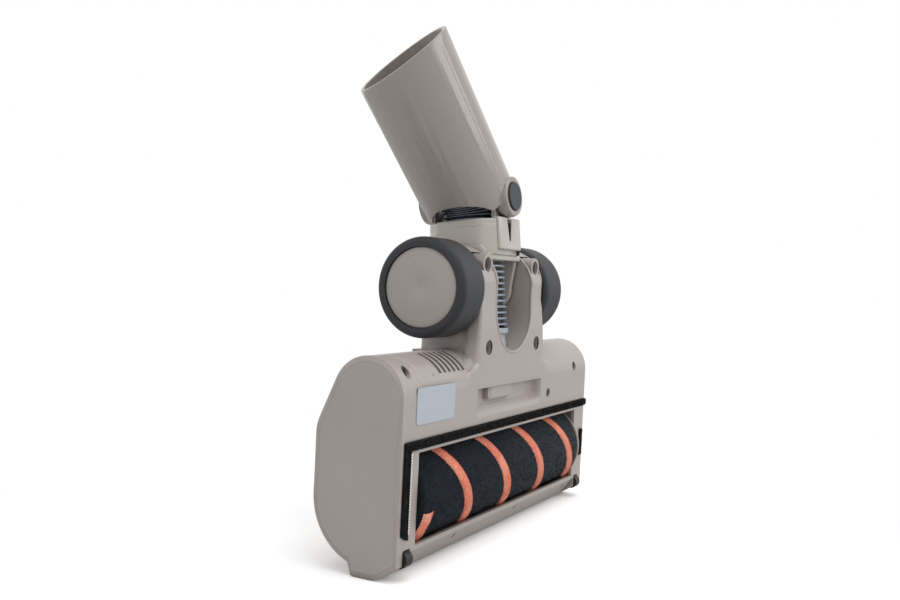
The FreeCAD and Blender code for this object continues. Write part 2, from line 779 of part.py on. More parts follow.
bearing_bosses(yoke, "yoke_bearing_boss", "high")
circle(sketch(yoke, "yoke_cuff_top", "XY_Plane", "fork_floor + fork_inner"), "0", "hose_y", "cuff_radius")
pocket(yoke, "yoke_cuff_seat", yoke.Group[-1], "fork_floor + fork_inner - chamber_top")
circle(sketch(yoke, "yoke_trunnion_side", "YZ_Plane", "-trunnion_reach - seat_gap"),
       "wheel_y", "wheel_z", "trunnion_radius + running")
pocket(yoke, "yoke_trunnion_bores", yoke.Group[-1], "trunnion_reach * 2 + seat_gap * 2", backwards=True)
circle(sketch(yoke, "yoke_axle_side", "YZ_Plane", "-fork_outer - 1"), "wheel_y", "wheel_z", "axle_radius")
pocket(yoke, "yoke_axle_bores", yoke.Group[-1], "fork_outer * 2 + 2", backwards=True)
holes = sketch(yoke, "yoke_shank_front", "XZ_Plane", "-seam_y + 1")
for across, up in FORK_HOLES:
    circle(holes, across, up, "screw_radius")
pocket(yoke, "yoke_shank_bores", holes, "fork_screw_depth + fork_screw_length - seam_y + 1")
keep(yoke, "yoke_cover")

# Side panels
for side, start in (("left", "-body_width / 2"), ("right", "body_width / 2 - side_cap_thickness")):
    panel = new_body(side + "_side_cap_body")
    outline(sketch(panel, side + "_panel_side", "YZ_Plane", start), closed_cavity("panel_gap"))
    pad(panel, side + "_panel", panel.Group[-1], "side_cap_thickness")
    keep(panel, side + "_side_cap")

# Flock strips and the blank label on the underside
SEALS = [
    ("rear_seal_strip", [
        ("-body_width / 2", "strip_low"),
        ("body_width / 2 - 0.6", "strip_low"),
        ("body_width / 2 - 0.6 + (strip_high - strip_low) / 2", "(strip_low + strip_high) / 2",
         "+(strip_high - strip_low) / 2"),
        ("body_width / 2 - 0.6", "strip_high", "+(strip_high - strip_low) / 2"),
        ("-body_width / 2", "strip_high"),
    ]),
    ("left_seal_strip", [
        ("-body_width / 2 + 3", "rail_top + 7.4"),
        ("-body_width / 2 + 3 + strip_side_width", "rail_top + 4.4"),
        ("-body_width / 2 + 3 + strip_side_width", "strip_low"),
        ("-body_width / 2 + 3", "strip_low"),
    ]),
    ("right_seal_strip", box_points("body_width / 2 - 7", "rail_top + 13.4", "body_width / 2 - 3",
                                    "strip_low - 17")),
]
for label, points in SEALS:
    strip = new_body(label + "_body")
    outline(sketch(strip, label + "_front", "XZ_Plane", "0"), points)
    pad(strip, label + "_pile", strip.Group[-1], "plate_face", backwards=True)
    keep(strip, label)
sticker = new_body("blank_label_body")
outline(sketch(sticker, "label_front", "XZ_Plane", "-plate_face"),
        round_box_points("label_x", "label_z", "label_x + label_width", "label_z + label_height", "2"))
pad(sticker, "label_film", sticker.Group[-1], "label_thickness")
keep(sticker, "blank_label")


def ring_points(inner, outer, start, end):
    """A rectangle beside the axis: from start to end along it, from inner to outer away from it."""
    return box_points(start, inner, end, outer)


def turning(name, along_y, along_z, points):
    """A body turned about an axis along X at this depth and height."""
    body = new_body(name + "_body", along_y, along_z)
    outline(sketch(body, name + "_half", "XZ_Plane"), points)
    revolve(body, name + "_turn", body.Group[-1], "X_Axis")
    return body


def mirrored(side, points):
    """The outline for the other side of the machine, walked the same way round."""
    if side == "right":
        return points
    walked = [("-(%s)" % point[0],) + tuple(point[1:]) for point in points]
    ends = [point[:2] for point in walked]
    turns = [point[2] if len(point) == 3 else None for point in walked]
    out = []
    for index in range(len(walked)):
        place = ends[-index - 1]
        turn = turns[-index]
        out.append(place + ((turn,) if turn else ()))
    return out


# Roller
keep(turning("roller_core", "roller_y", "roller_z", [
    ("-chamber_half - 9.6", "0"),
    ("chamber_half + 2.8", "0"),
    ("chamber_half + 2.8", "shaft_radius"),
    ("roller_half", "shaft_radius"),
    ("roller_half", "core_radius"),
    ("-roller_half", "core_radius"),
    ("-roller_half", "shaft_radius"),
    ("-chamber_half - 9.6", "shaft_radius"),
]), "roller_core")
room = nodes[-1]
outline(sketch(room, "roller_room_half", "XZ_Plane"),
        box_points("-roller_half + core_wall", "shaft_radius + core_wall",
                   "roller_half - core_wall", "core_radius - core_wall"))
hollow = room.newObject("PartDesign::Groove", "roller_room")
hollow.Profile = room.Group[-2]
hollow.ReferenceAxis = (next(item for item in room.Origin.OriginFeatures if item.Role == "X_Axis"), [""])
hollow.Angle = 360
keep(turning("roller_sleeve", "roller_y", "roller_z",
             ring_points("core_radius", "roller_radius", "-roller_half", "roller_half")), "roller_sleeve")
keep(turning("roller_pulley", "roller_y", "roller_z",
             ring_points("shaft_radius", "roller_pulley_radius", "-chamber_half - 9.5",
                         "-chamber_half - 9.5 + pulley_width")), "roller_pulley")
for side, start in (("left", "-chamber_half - 2.8"), ("right", "chamber_half + 2.8 - bearing_width")):
    keep(turning(side + "_roller_bearing", "roller_y", "roller_z",
                 ring_points("shaft_radius + running", "bearing_radius", start,
                             start + " + bearing_width")), side + "_roller_bearing")

# Raised stripes, two turns of ribbon wound on the sleeve
ribbons = []
for start in ("0", "180"):
    ribbon = doc.addObject("PartDesign::Body", "ribbon_" + start)
    ribbon.setExpression("Placement.Base.y", bound("roller_y - rest_y"))
    ribbon.setExpression("Placement.Base.z", bound("roller_z"))
    ribbon.Placement.Rotation = FreeCAD.Rotation(FreeCAD.Vector(1, 0, 0),
                                                 float(start) + number("stripe_start"))
    outline(sketch(ribbon, "ribbon_half_" + start, "XZ_Plane"),
            box_points("-roller_half", "roller_radius + 0.01", "-roller_half + stripe_width",
                       "roller_radius + stripe_rise"))
    winding = ribbon.newObject("PartDesign::AdditiveHelix", "ribbon_turns_" + start)
    winding.Profile = ribbon.Group[-2]
    winding.ReferenceAxis = (next(item for item in ribbon.Origin.OriginFeatures
                                  if item.Role == "X_Axis"), [""])
    winding.Mode = 0
    winding.setExpression("Pitch", bound("stripe_lead"))
    winding.setExpression("Height", bound("roller_half * 2 - stripe_width"))
    winding.LeftHanded = False
    ribbons.append(ribbon)
keep(group("roller_stripes_group", ribbons), "roller_stripes")

# Motor with its pulley, and the belt that drives the roller
MOTOR_LEFT = "(motor_right - motor_length)"
keep(turning("brush_motor", "motor_y", "motor_z", [
    (MOTOR_LEFT, "motor_shaft_radius + running"),
    (MOTOR_LEFT + " + 6", "motor_shaft_radius + running"),
    (MOTOR_LEFT + " + 6", "0"),
    ("motor_right", "0"),
    ("motor_right", "motor_radius"),
    (MOTOR_LEFT, "motor_radius"),
]), "brush_motor")
keep(turning("motor_pulley", "motor_y", "motor_z", [
    ("-chamber_half - 9.5", "0"),
    (MOTOR_LEFT + " + 5", "0"),
    (MOTOR_LEFT + " + 5", "motor_shaft_radius"),
    ("-chamber_half - 9.5 + pulley_width", "motor_shaft_radius"),
    ("-chamber_half - 9.5 + pulley_width", "motor_pulley_radius"),
    ("-chamber_half - 9.5", "motor_pulley_radius"),
]), "motor_pulley")

BELT_SPAN = "sqrt((motor_y - roller_y)^2 + (motor_z - roller_z)^2)"
BELT_SINE = "((roller_pulley_radius - motor_pulley_radius) / %s)" % BELT_SPAN
ALONG_Y = "((motor_y - roller_y) / %s)" % BELT_SPAN
ALONG_Z = "((motor_z - roller_z) / %s)" % BELT_SPAN


def belt_outline(drawing, away):
    """One loop round both pulleys, at this distance from them."""
    cosine = "sqrt(1 - %s^2)" % BELT_SINE
    left = ("(%s * %s - %s * %s)" % (ALONG_Y, BELT_SINE, ALONG_Z, cosine),
            "(%s * %s + %s * %s)" % (ALONG_Z, BELT_SINE, ALONG_Y, cosine))
    right = ("(%s * %s + %s * %s)" % (ALONG_Y, BELT_SINE, ALONG_Z, cosine),
             "(%s * %s - %s * %s)" % (ALONG_Z, BELT_SINE, ALONG_Y, cosine))
    small = "(motor_pulley_radius + %s)" % away
    large = "(roller_pulley_radius + %s)" % away
    return outline(drawing, [
        ("motor_y + %s * %s" % (small, left[0]), "motor_z + %s * %s" % (small, left[1]), "+" + small),
        ("roller_y + %s * %s" % (large, left[0]), "roller_z + %s * %s" % (large, left[1])),
        ("roller_y - %s * %s" % (large, ALONG_Y), "roller_z - %s * %s" % (large, ALONG_Z), "+" + large),
        ("roller_y + %s * %s" % (large, right[0]), "roller_z + %s * %s" % (large, right[1]), "+" + large),
        ("motor_y + %s * %s" % (small, right[0]), "motor_z + %s * %s" % (small, right[1])),
    ])


belt = new_body("drive_belt_body")
loops = sketch(belt, "belt_side", "YZ_Plane", "-chamber_half - 9.2")
belt_outline(loops, "(clearance + belt_thickness)")
belt_outline(loops, "clearance")
pad(belt, "belt_loop", loops, "pulley_width - 0.6")
keep(belt, "drive_belt")

# Circuit board on the posts
keep(block("control_board_block", "board_length", "board_thickness", "board_height",
           ("hole_middle_x - 7", PLATE_INSIDE + " - 0.5 + post_length", "hole_middle_z - 4")),
     "control_board")

# Suction way
def upright(name, points):
    """A body turned about the upright axis of the suction way."""
    body = new_body(name + "_body", "hose_y", "0")
    outline(sketch(body, name + "_half", "XZ_Plane"), points)
    revolve(body, name + "_turn", body.Group[-1], "Z_Axis")
    return body


keep(upright("suction_duct", [
    ("duct_radius - duct_wall", "chamber_top"),
    ("duct_radius + duct_flange", "chamber_top"),
    ("duct_radius + duct_flange", "chamber_top + duct_wall"),
    ("duct_radius", "chamber_top + duct_wall"),
    ("duct_radius", "duct_top"),
    ("duct_radius - duct_wall", "duct_top"),
]), "suction_duct")
keep(upright("hose_cuff", [
    ("duct_radius", "cuff_low + 1"),
    ("cuff_radius - panel_gap", "cuff_low + 1"),
    ("cuff_radius - panel_gap", "cuff_top - cuff_rim_height * 3"),
    ("cuff_radius - 1", "cuff_top - cuff_rim_height * 2"),
    ("cuff_radius - 1", "cuff_top - cuff_rim_height - 1"),
    ("cuff_rim", "cuff_top - cuff_rim_height"),
    ("cuff_rim", "cuff_top"),
    ("hose_radius + clearance", "cuff_top"),
    ("hose_radius + clearance", "cuff_top - cuff_rim_height"),
    ("duct_radius", "cuff_top - cuff_rim_height"),
]), "hose_cuff")

# Wheels
for side, sign in (("left", "-"), ("right", "")):
    def wheel(name, points):
        """A wheel part of this side, turned about the wheel axis."""
        return keep(turning(side + name, "wheel_y", "wheel_z", mirrored(side, points)), side + name)

    wheel("_wheel_axle", [
        ("trunnion_reach + 2", "0"),
        ("wheel_outer - 3.4", "0"),
        ("wheel_outer - 3.4", "axle_radius + 2.5"),
        ("wheel_outer - 5.4", "axle_radius + 2.5"),
        ("wheel_outer - 5.4", "axle_radius"),
        ("trunnion_reach + 2", "axle_radius"),
    ])
    wheel("_wheel_core", [
        ("wheel_inner", "axle_radius + running"),
        ("wheel_outer - 5.7", "axle_radius + running"),
        ("wheel_outer - 5.7", "axle_radius + 3"),
        ("wheel_outer - 3", "axle_radius + 3"),
        ("wheel_outer - 3", "hub_radius"),
        ("wheel_inner", "hub_radius"),
        ("wheel_inner", "hub_radius - 2"),
        ("wheel_outer - 6.4", "hub_radius - 2.4"),
        ("wheel_outer - 6.4", "axle_radius + 5"),
        ("wheel_inner", "axle_radius + 3"),
    ])
    wheel("_tyre", [
        ("wheel_inner", "hub_radius"),
        ("wheel_outer", "hub_radius"),
        ("wheel_outer", "tyre_radius - tyre_round"),
        ("wheel_outer - tyre_round", "tyre_radius", "+tyre_round"),
        ("wheel_inner + tyre_round", "tyre_radius"),
        ("wheel_inner", "tyre_radius - tyre_round", "+tyre_round"),
    ])
    wheel("_wheel_cap", [
        ("wheel_outer - 3", "0"),
        ("wheel_outer - 0.8", "0"),
        ("wheel_outer - 0.8", "hub_radius - 7"),
        ("wheel_outer - 1.6", "hub_radius - 6.6"),
        ("wheel_outer - 1.6", "hub_radius - 5.4"),
        ("wheel_outer - 0.8", "hub_radius - 5"),
        ("wheel_outer - 0.8", "hub_radius - 1"),
        ("wheel_outer - 1.4", "hub_radius - panel_gap"),
        ("wheel_outer - 3", "hub_radius - panel_gap"),
    ])
    keep(turning(side + "_front_wheel", "front_wheel_y", "front_wheel_z",
                 ring_points("front_pin_radius + running", "front_wheel_radius",
                             "%sfront_wheel_x - front_wheel_width / 2" % sign,
                             "%sfront_wheel_x + front_wheel_width / 2" % sign)), side + "_front_wheel")
    keep(turning(side + "_front_pin", "front_wheel_y", "front_wheel_z",
                 ring_points("0", "front_pin_radius", "%sfront_wheel_x - front_pin_length / 2" % sign,
                             "%sfront_wheel_x + front_pin_length / 2" % sign)), side + "_front_pin")


# Screws


def screws(name, places, length):
    """Equal screws driven from the underside, each with its own depth of head."""
    pieces = []
    for count, (across, up, seat) in enumerate(places):
        head = cylinder("%s_head_%d" % (name, count), "screw_head_radius", "screw_head_height",
                        (across, "%s - screw_head_height" % seat, up), "Y")
        shank = cylinder("%s_shank_%d" % (name, count), "screw_radius", length, (across, seat, up), "Y")
        pieces.append(join("%s_%d" % (name, count), head, shank))
    return keep(group(name + "_group", pieces), name)


screws("case_screws", [place + ("(plate_face + screw_depth)",) for place in PLATE_HOLES]
       + [place + ("(plate_face + screw_depth + brow_depth)",) for place in BROW_HOLE], "screw_length")
screws("fork_screws", [place + ("fork_screw_depth",) for place in FORK_HOLES], "fork_screw_length")

# Neck
# Its pieces are drawn upright about the wheel axis and are leaned back at the end.


EAR_FACE = "(neck_front - neck_ledge * 2)"


def octagon(back, shift="0"):
    """Half of the neck's eight-sided outline, in front of its middle or behind it."""
    flat = "(neck_front - %s)" % shift
    side = "(neck_half - %s)" % shift
    edge = "(%s - %s / 2)" % ("neck_rear_flat" if back else "neck_flat", shift)
    turn = "(neck_side - %s / 2)" % shift
    sign = "+" if back else "-"
    points = [
        ("-" + side, "neck_offset"),
        ("-" + side, "neck_offset %s %s" % (sign, turn)),
        ("-" + edge, "neck_offset %s %s" % (sign, flat)),
        (edge, "neck_offset %s %s" % (sign, flat)),
        (side, "neck_offset %s %s" % (sign, turn)),
        (side, "neck_offset"),
    ]
    return points[::-1] if back else points


def neck_shell(name, back):
    """One half of the neck's eight-sided tube, with the ear that reaches up to the swivel pivot."""
    body = turned_body(name + "_body")
    outline(sketch(body, name + "_low_top", "XY_Plane", "neck_bottom"), octagon(back))
    pad(body, name + "_low", body.Group[-1], "neck_shoulder - neck_bottom")
    outline(sketch(body, name + "_high_top", "XY_Plane", "neck_shoulder"), octagon(back, "neck_ledge"))
    pad(body, name + "_high", body.Group[-1], "neck_top - neck_shoulder")
    plane = "-neck_offset - " + EAR_FACE if back else "-neck_offset + " + EAR_FACE
    outline(sketch(body, name + "_room_top", "XY_Plane", "neck_top + 0.5"), octagon(back, "neck_wall"))
    pocket(body, name + "_room", body.Group[-1], "neck_top - neck_bottom + 1")
    outline(sketch(body, name + "_ear_front", "XZ_Plane", plane), [
        ("ear_radius", "pivot_up"),
        ("0", "pivot_up + ear_radius", "+ear_radius"),
        ("-ear_radius", "pivot_up", "+ear_radius"),
        ("-ear_radius - 1", "neck_top - 4"),
        ("ear_radius + 1", "neck_top - 4"),
    ])
    pad(body, name + "_ear", body.Group[-1], "ear_wall", backwards=not back)
    circle(sketch(body, name + "_pivot_front", "XZ_Plane", "-neck_offset - neck_front" if back else
                  "-neck_offset + neck_front"), "0", "pivot_up", "pivot_radius + running")
    pocket(body, name + "_pivot_hole", body.Group[-1], "neck_front", backwards=back)
    return body


fore = neck_shell("neck_front", False)
for side, start, out in (("left", "-neck_arm_out", "-trunnion_reach"),
                         ("right", "neck_arm_out - neck_arm", "neck_arm_out - 1")):
    outline(sketch(fore, side + "_arm_side", "YZ_Plane", start), [
        ("-neck_arm_radius", "0"),
        ("0", "-neck_arm_radius", "+neck_arm_radius"),
        ("neck_arm_radius", "0", "+neck_arm_radius"),
        ("neck_offset + neck_side + 1", "neck_bottom"),
        ("neck_offset", "neck_bottom"),
        ("neck_offset", "neck_bottom + 6"),
        ("neck_offset - neck_side - 6", "neck_bottom + 6"),
        ("neck_offset - neck_side - 9", "neck_bottom + 3"),
    ])
    pad(fore, side + "_arm", fore.Group[-1], "neck_arm")
    circle(sketch(fore, side + "_trunnion_side", "YZ_Plane", out), "0", "0", "trunnion_radius")
    pad(fore, side + "_trunnion", fore.Group[-1], "trunnion_reach - neck_arm_out + 1")
outline(sketch(fore, "block_front", "XZ_Plane", "-neck_offset + neck_front - 0.5"),
        box_points("-neck_flat", "neck_bottom + 3", "neck_flat", "neck_top + 1"))
pad(fore, "block", fore.Group[-1], "neck_block_rise + 0.5")
outline(sketch(fore, "lock_slot_front", "XZ_Plane", "-neck_offset + neck_front + neck_block_rise"), [
    ("-slot_narrow / 2", "slot_low"),
    ("slot_narrow / 2", "slot_low"),
    ("slot_wide / 2", "neck_top"),
    ("-slot_wide / 2", "neck_top"),
])
pocket(fore, "lock_slot", fore.Group[-1], "neck_block_rise + 0.6")
outline(sketch(fore, "cross_bar_side", "YZ_Plane", "-neck_arm_out + 1"),
        box_points("neck_offset - neck_side - 10", "neck_bottom - 3", "neck_offset - neck_side - 7.6",
                   "neck_bottom + 1"))
pad(fore, "cross_bar", fore.Group[-1], "neck_arm_out * 2 - 2")
keep(fore, "neck_front", "neck")
keep(neck_shell("neck_rear", True), "neck_rear", "neck")

# Suction hose
# Straight from the cuff up through the neck, then bent over into the tube.
BEND_LEAD = "(hose_bend * tan(swivel_angle / 2))"
BEND_LOW = "(pivot_up - %s)" % BEND_LEAD


def rings(start, count):
    """The corrugated outline of this many rings above start."""
    points = [("hose_bore", "%s + %s * hose_pitch" % (start, count)), ("hose_bore", start)]
    for step in range(int(number(count))):
        points.append(("hose_radius - hose_valley", "%s + %d * hose_pitch" % (start, step)))
        points.append(("hose_radius", "%s + %d * hose_pitch + hose_pitch / 2" % (start, step)))
    points.append(("hose_radius - hose_valley", "%s + %s * hose_pitch" % (start, count)))
    return points


low_hose = turned_body("low_hose_body")
outline(sketch(low_hose, "low_hose_half", "XZ_Plane"), rings("(%s - hose_rings * hose_pitch)" % BEND_LOW,
                                                             "hose_rings"))
revolve(low_hose, "low_hose_turn", low_hose.Group[-1], "Z_Axis")
high_hose = turned_body("high_hose_body")
outline(sketch(high_hose, "high_hose_half", "XZ_Plane"), rings(BEND_LEAD, "hose_end_rings"))
revolve(high_hose, "high_hose_turn", high_hose.Group[-1], "Z_Axis")
bends = []
for name, radius in (("bend_outside", "hose_radius - hose_valley"), ("bend_inside", "hose_bore")):
    bend = doc.addObject("Part::Torus", name)
    bend.setExpression("Radius1", bound("hose_bend"))
    bend.setExpression("Radius2", bound(radius))
    bend.setExpression("Angle3", bound("swivel_angle"))
    bend.Placement.Rotation = FreeCAD.Rotation(FreeCAD.Vector(1, 0, 0), 90)
    bend.setExpression("Placement.Base.x", bound("-hose_bend"))
    bend.setExpression("Placement.Base.z", bound(BEND_LOW))
    bends.append(bend)
bend_rings = []
for step in range(6):
    angle = "(swivel_angle * (%d + 0.5) / 6)" % step
    pieces = []
    for name, radius in (("ring_outside", "hose_radius"), ("ring_inside", "(hose_bore + hose_radius - hose_valley) / 2")):
        ring = doc.addObject("Part::Cylinder", "%s_%d" % (name, step))
        ring.setExpression("Radius", bound(radius))
        ring.setExpression("Height", bound("hose_pitch / 2"))
        ring.Placement.Rotation = FreeCAD.Rotation(FreeCAD.Vector(0, 1, 0), -number(angle))
        ring.setExpression("Placement.Base.x", bound(
            "-hose_bend + hose_bend * cos(%s) + hose_pitch / 4 * sin(%s)" % (angle, angle)))
        ring.setExpression("Placement.Base.z", bound(
            "%s + hose_bend * sin(%s) - hose_pitch / 4 * cos(%s)" % (BEND_LOW, angle, angle)))
        pieces.append(ring)
    bend_rings.append(cut("bend_ring_%d" % step, *pieces))
high_hose.Placement = FreeCAD.Placement(FreeCAD.Vector(0, 0, number("pivot_up")),
                                        FreeCAD.Rotation(FreeCAD.Vector(0, 1, 0), -number("swivel_angle")))
hose = join("suction_hose_whole", low_hose, cut("bend_wall", *bends), *bend_rings, high_hose)
keep(hose, "suction_hose")

# Swivel tube
# Drawn upright about its own axis, with its origin on the swivel pivot.


def tube_radius_at(height):
    """The tube's outside widens a little towards its mouth."""
    return "(tube_radius + (tube_mouth_radius - tube_radius) * %s / tube_length)" % height


tube = turned_body("swivel_tube_body")
outline(sketch(tube, "tube_half", "XZ_Plane"), [
    ("tube_throat", "-skirt_ear - 1"),
    (tube_radius_at("(-skirt_ear - 1)"), "-skirt_ear - 1"),
    (tube_radius_at("(tube_length + 30)"), "tube_length + 30"),
    ("tube_bore", "tube_length + 30"),
    ("tube_bore", "socket_floor"),
    ("tube_throat", "socket_floor"),
])
revolve(tube, "tube_turn", tube.Group[-1], "Z_Axis")
mouth = sketch(tube, "mouth_face", "XY_Plane", "tube_length")
slope = FreeCAD.Rotation(FreeCAD.Vector(1, 0, 0), -number("mouth_slope"))
turn = FreeCAD.Rotation(FreeCAD.Vector(0, 1, 0), number("mouth_turn"))
mouth.AttachmentOffset = FreeCAD.Placement(FreeCAD.Vector(0, 0, number("tube_length")), turn * slope)
circle(mouth, "0", "0", "tube_mouth_radius * 2")
pocket(tube, "mouth", mouth, "50", backwards=True)
outline(sketch(tube, "skirt_front", "XZ_Plane", "tube_mouth_radius + 2"), [
    ("tube_mouth_radius + 2", "-skirt_ear - 2"),
    ("tube_mouth_radius + 2", "skirt_up"),
    ("sqrt(skirt_ear^2 - skirt_up^2)", "skirt_up"),
    ("0", "-skirt_ear", "-skirt_ear"),
    ("-sqrt(skirt_ear^2 - skirt_up^2)", "skirt_up", "-skirt_ear"),
    ("-tube_mouth_radius - 2", "skirt_up"),
    ("-tube_mouth_radius - 2", "-skirt_ear - 2"),
])
pocket(tube, "skirt", tube.Group[-1], "tube_mouth_radius * 2 + 4")
circle(sketch(tube, "arch_side", "YZ_Plane", "-tube_mouth_radius - 2"), "-arch_shift", "-arch_drop",
       "arch_radius")
pocket(tube, "arch", tube.Group[-1], "tube_mouth_radius * 2 + 4", backwards=True)
for name, plane in (("front", EAR_FACE + " + clearance"), ("rear", "-boss_face")):
    circle(sketch(tube, name + "_boss_face", "XZ_Plane", plane), "0", "0", "boss_radius")
    pad(tube, name + "_boss", tube.Group[-1], "boss_face - %s - clearance" % EAR_FACE)
circle(sketch(tube, "pin_bore_face", "XZ_Plane", "boss_face + 1"), "0", "0", "pivot_radius")
pocket(tube, "pin_bores", tube.Group[-1], "boss_face * 2 + 2")
for name, plane, back in (("front", "boss_face + 1", False), ("rear", "-boss_face - 1", True)):
    circle(sketch(tube, name + "_cap_seat_face", "XZ_Plane", plane), "0", "0", "cap_radius")
    pocket(tube, name + "_cap_seat", tube.Group[-1], "cap_depth + 1 - cap_face + boss_face", backwards=back)
keep(tube, "swivel_tube", "tube")

pins = []
for name, start in (("front", "-cap_face"), ("rear", "cap_face - cap_depth")):
    cap = doc.addObject("Part::Cylinder", name + "_cap_disc")
    cap.setExpression("Radius", bound("cap_radius"))
    cap.setExpression("Height", bound("cap_depth"))
    keep(group(name + "_pivot_cap_group", [at(cap, "0", start, "0", "Y", "")]), name + "_pivot_cap", "tube")
for name, start in (("front", "-cap_face + cap_depth"), ("rear", EAR_FACE + " - ear_wall")):
    pin = doc.addObject("Part::Cylinder", name + "_pin")
    pin.setExpression("Radius", bound("pivot_radius"))
    pin.setExpression("Height", bound("cap_face - cap_depth - %s + ear_wall" % EAR_FACE))
    pins.append(at(pin, "0", start, "0", "Y", ""))
keep(group("swivel_pins_group", pins), "swivel_pins", "tube")

# Leaning the neck and swinging the tube
doc.recompute()
lean = FreeCAD.Placement(FreeCAD.Vector(0, number("wheel_y - rest_y"), number("wheel_z")),
                         FreeCAD.Rotation(FreeCAD.Vector(1, 0, 0), -number("neck_tilt")))
swing = lean * FreeCAD.Placement(FreeCAD.Vector(0, number("neck_offset"), number("pivot_up")),
                                 FreeCAD.Rotation(FreeCAD.Vector(0, 1, 0), -number("swivel_angle")))
for piece in turned["neck"]:
    piece.Placement = lean
for piece in turned["tube"]:
    piece.Placement = swing
hose.Placement = lean * FreeCAD.Placement(FreeCAD.Vector(0, number("hose_offset"), 0), FreeCAD.Rotation())
doc.recompute()

# Checks and files
for item in doc.Objects:
    if "Invalid" in item.State or "Error" in item.State:
        raise RuntimeError(item.Name + " is not built")
os.makedirs("parts", exist_ok=True)
for piece in nodes:
    if piece.Shape.isNull() or not piece.Shape.isValid():
        raise RuntimeError(piece.Label + " has no sound shape")
    piece.Shape.exportStep("parts/%s.step" % piece.Label)
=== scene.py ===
import bmesh
import bpy
import json
import math
from mathutils import Matrix, Vector, geometry


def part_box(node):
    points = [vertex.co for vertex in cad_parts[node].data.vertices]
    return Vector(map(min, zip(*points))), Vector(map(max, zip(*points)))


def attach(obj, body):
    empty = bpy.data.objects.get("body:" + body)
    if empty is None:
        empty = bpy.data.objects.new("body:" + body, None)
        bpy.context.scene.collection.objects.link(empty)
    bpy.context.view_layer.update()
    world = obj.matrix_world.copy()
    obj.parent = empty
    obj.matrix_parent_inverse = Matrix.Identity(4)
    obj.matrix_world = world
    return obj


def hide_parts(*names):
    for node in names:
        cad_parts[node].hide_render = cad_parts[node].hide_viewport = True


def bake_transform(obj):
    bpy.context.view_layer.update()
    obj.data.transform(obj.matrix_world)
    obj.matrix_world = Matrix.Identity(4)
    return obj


# Turbo brush of a stick vacuum, dressed for its picture. Lengths are in metres unless a name says mm.
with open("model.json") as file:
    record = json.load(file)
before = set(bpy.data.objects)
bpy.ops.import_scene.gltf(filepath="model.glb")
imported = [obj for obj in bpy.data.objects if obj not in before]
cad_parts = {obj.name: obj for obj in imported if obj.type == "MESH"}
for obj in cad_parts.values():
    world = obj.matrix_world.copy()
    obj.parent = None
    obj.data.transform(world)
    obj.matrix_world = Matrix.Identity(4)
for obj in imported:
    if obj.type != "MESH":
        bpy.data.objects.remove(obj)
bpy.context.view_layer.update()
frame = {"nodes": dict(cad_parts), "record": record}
nodes = frame["nodes"]


# Colour and shader helpers


def colour(code):
    """An sRGB hex colour as linear numbers."""
    parts = [int(code[start:start + 2], 16) / 255 for start in (1, 3, 5)]
    linear = [part / 12.92 if part <= 0.04045 else ((part + 0.055) / 1.055) ** 2.4 for part in parts]
    return (*linear, 1)


def add(tree, kind, inputs=(), **settings):
    """Adds a node, sets it up, and fills or links its inputs."""
    item = tree.nodes.new(kind)
    for name, value in settings.items():
        setattr(item, name, value)
    for name, value in dict(inputs).items():
        if isinstance(value, bpy.types.NodeSocket):
            tree.links.new(value, item.inputs[name])
        else:
            item.inputs[name].default_value = value
    return item


def new_material(name):
    """An empty material and its tree."""
    material = bpy.data.materials.new(name)
    material.use_nodes = True
    material.node_tree.nodes.clear()
    return material, material.node_tree


# Materials


# The moulds' grain is really about 0.1 mm, too fine to show here, so it is drawn coarser.
GRAIN_MM = 0.35
# CREASE_MM and CREASE_SHADE set the painted shade in creases: how far the occlusion reaches and how dark it
# gets.
CREASE_MM = 3.5
CREASE_SHADE = 0.22


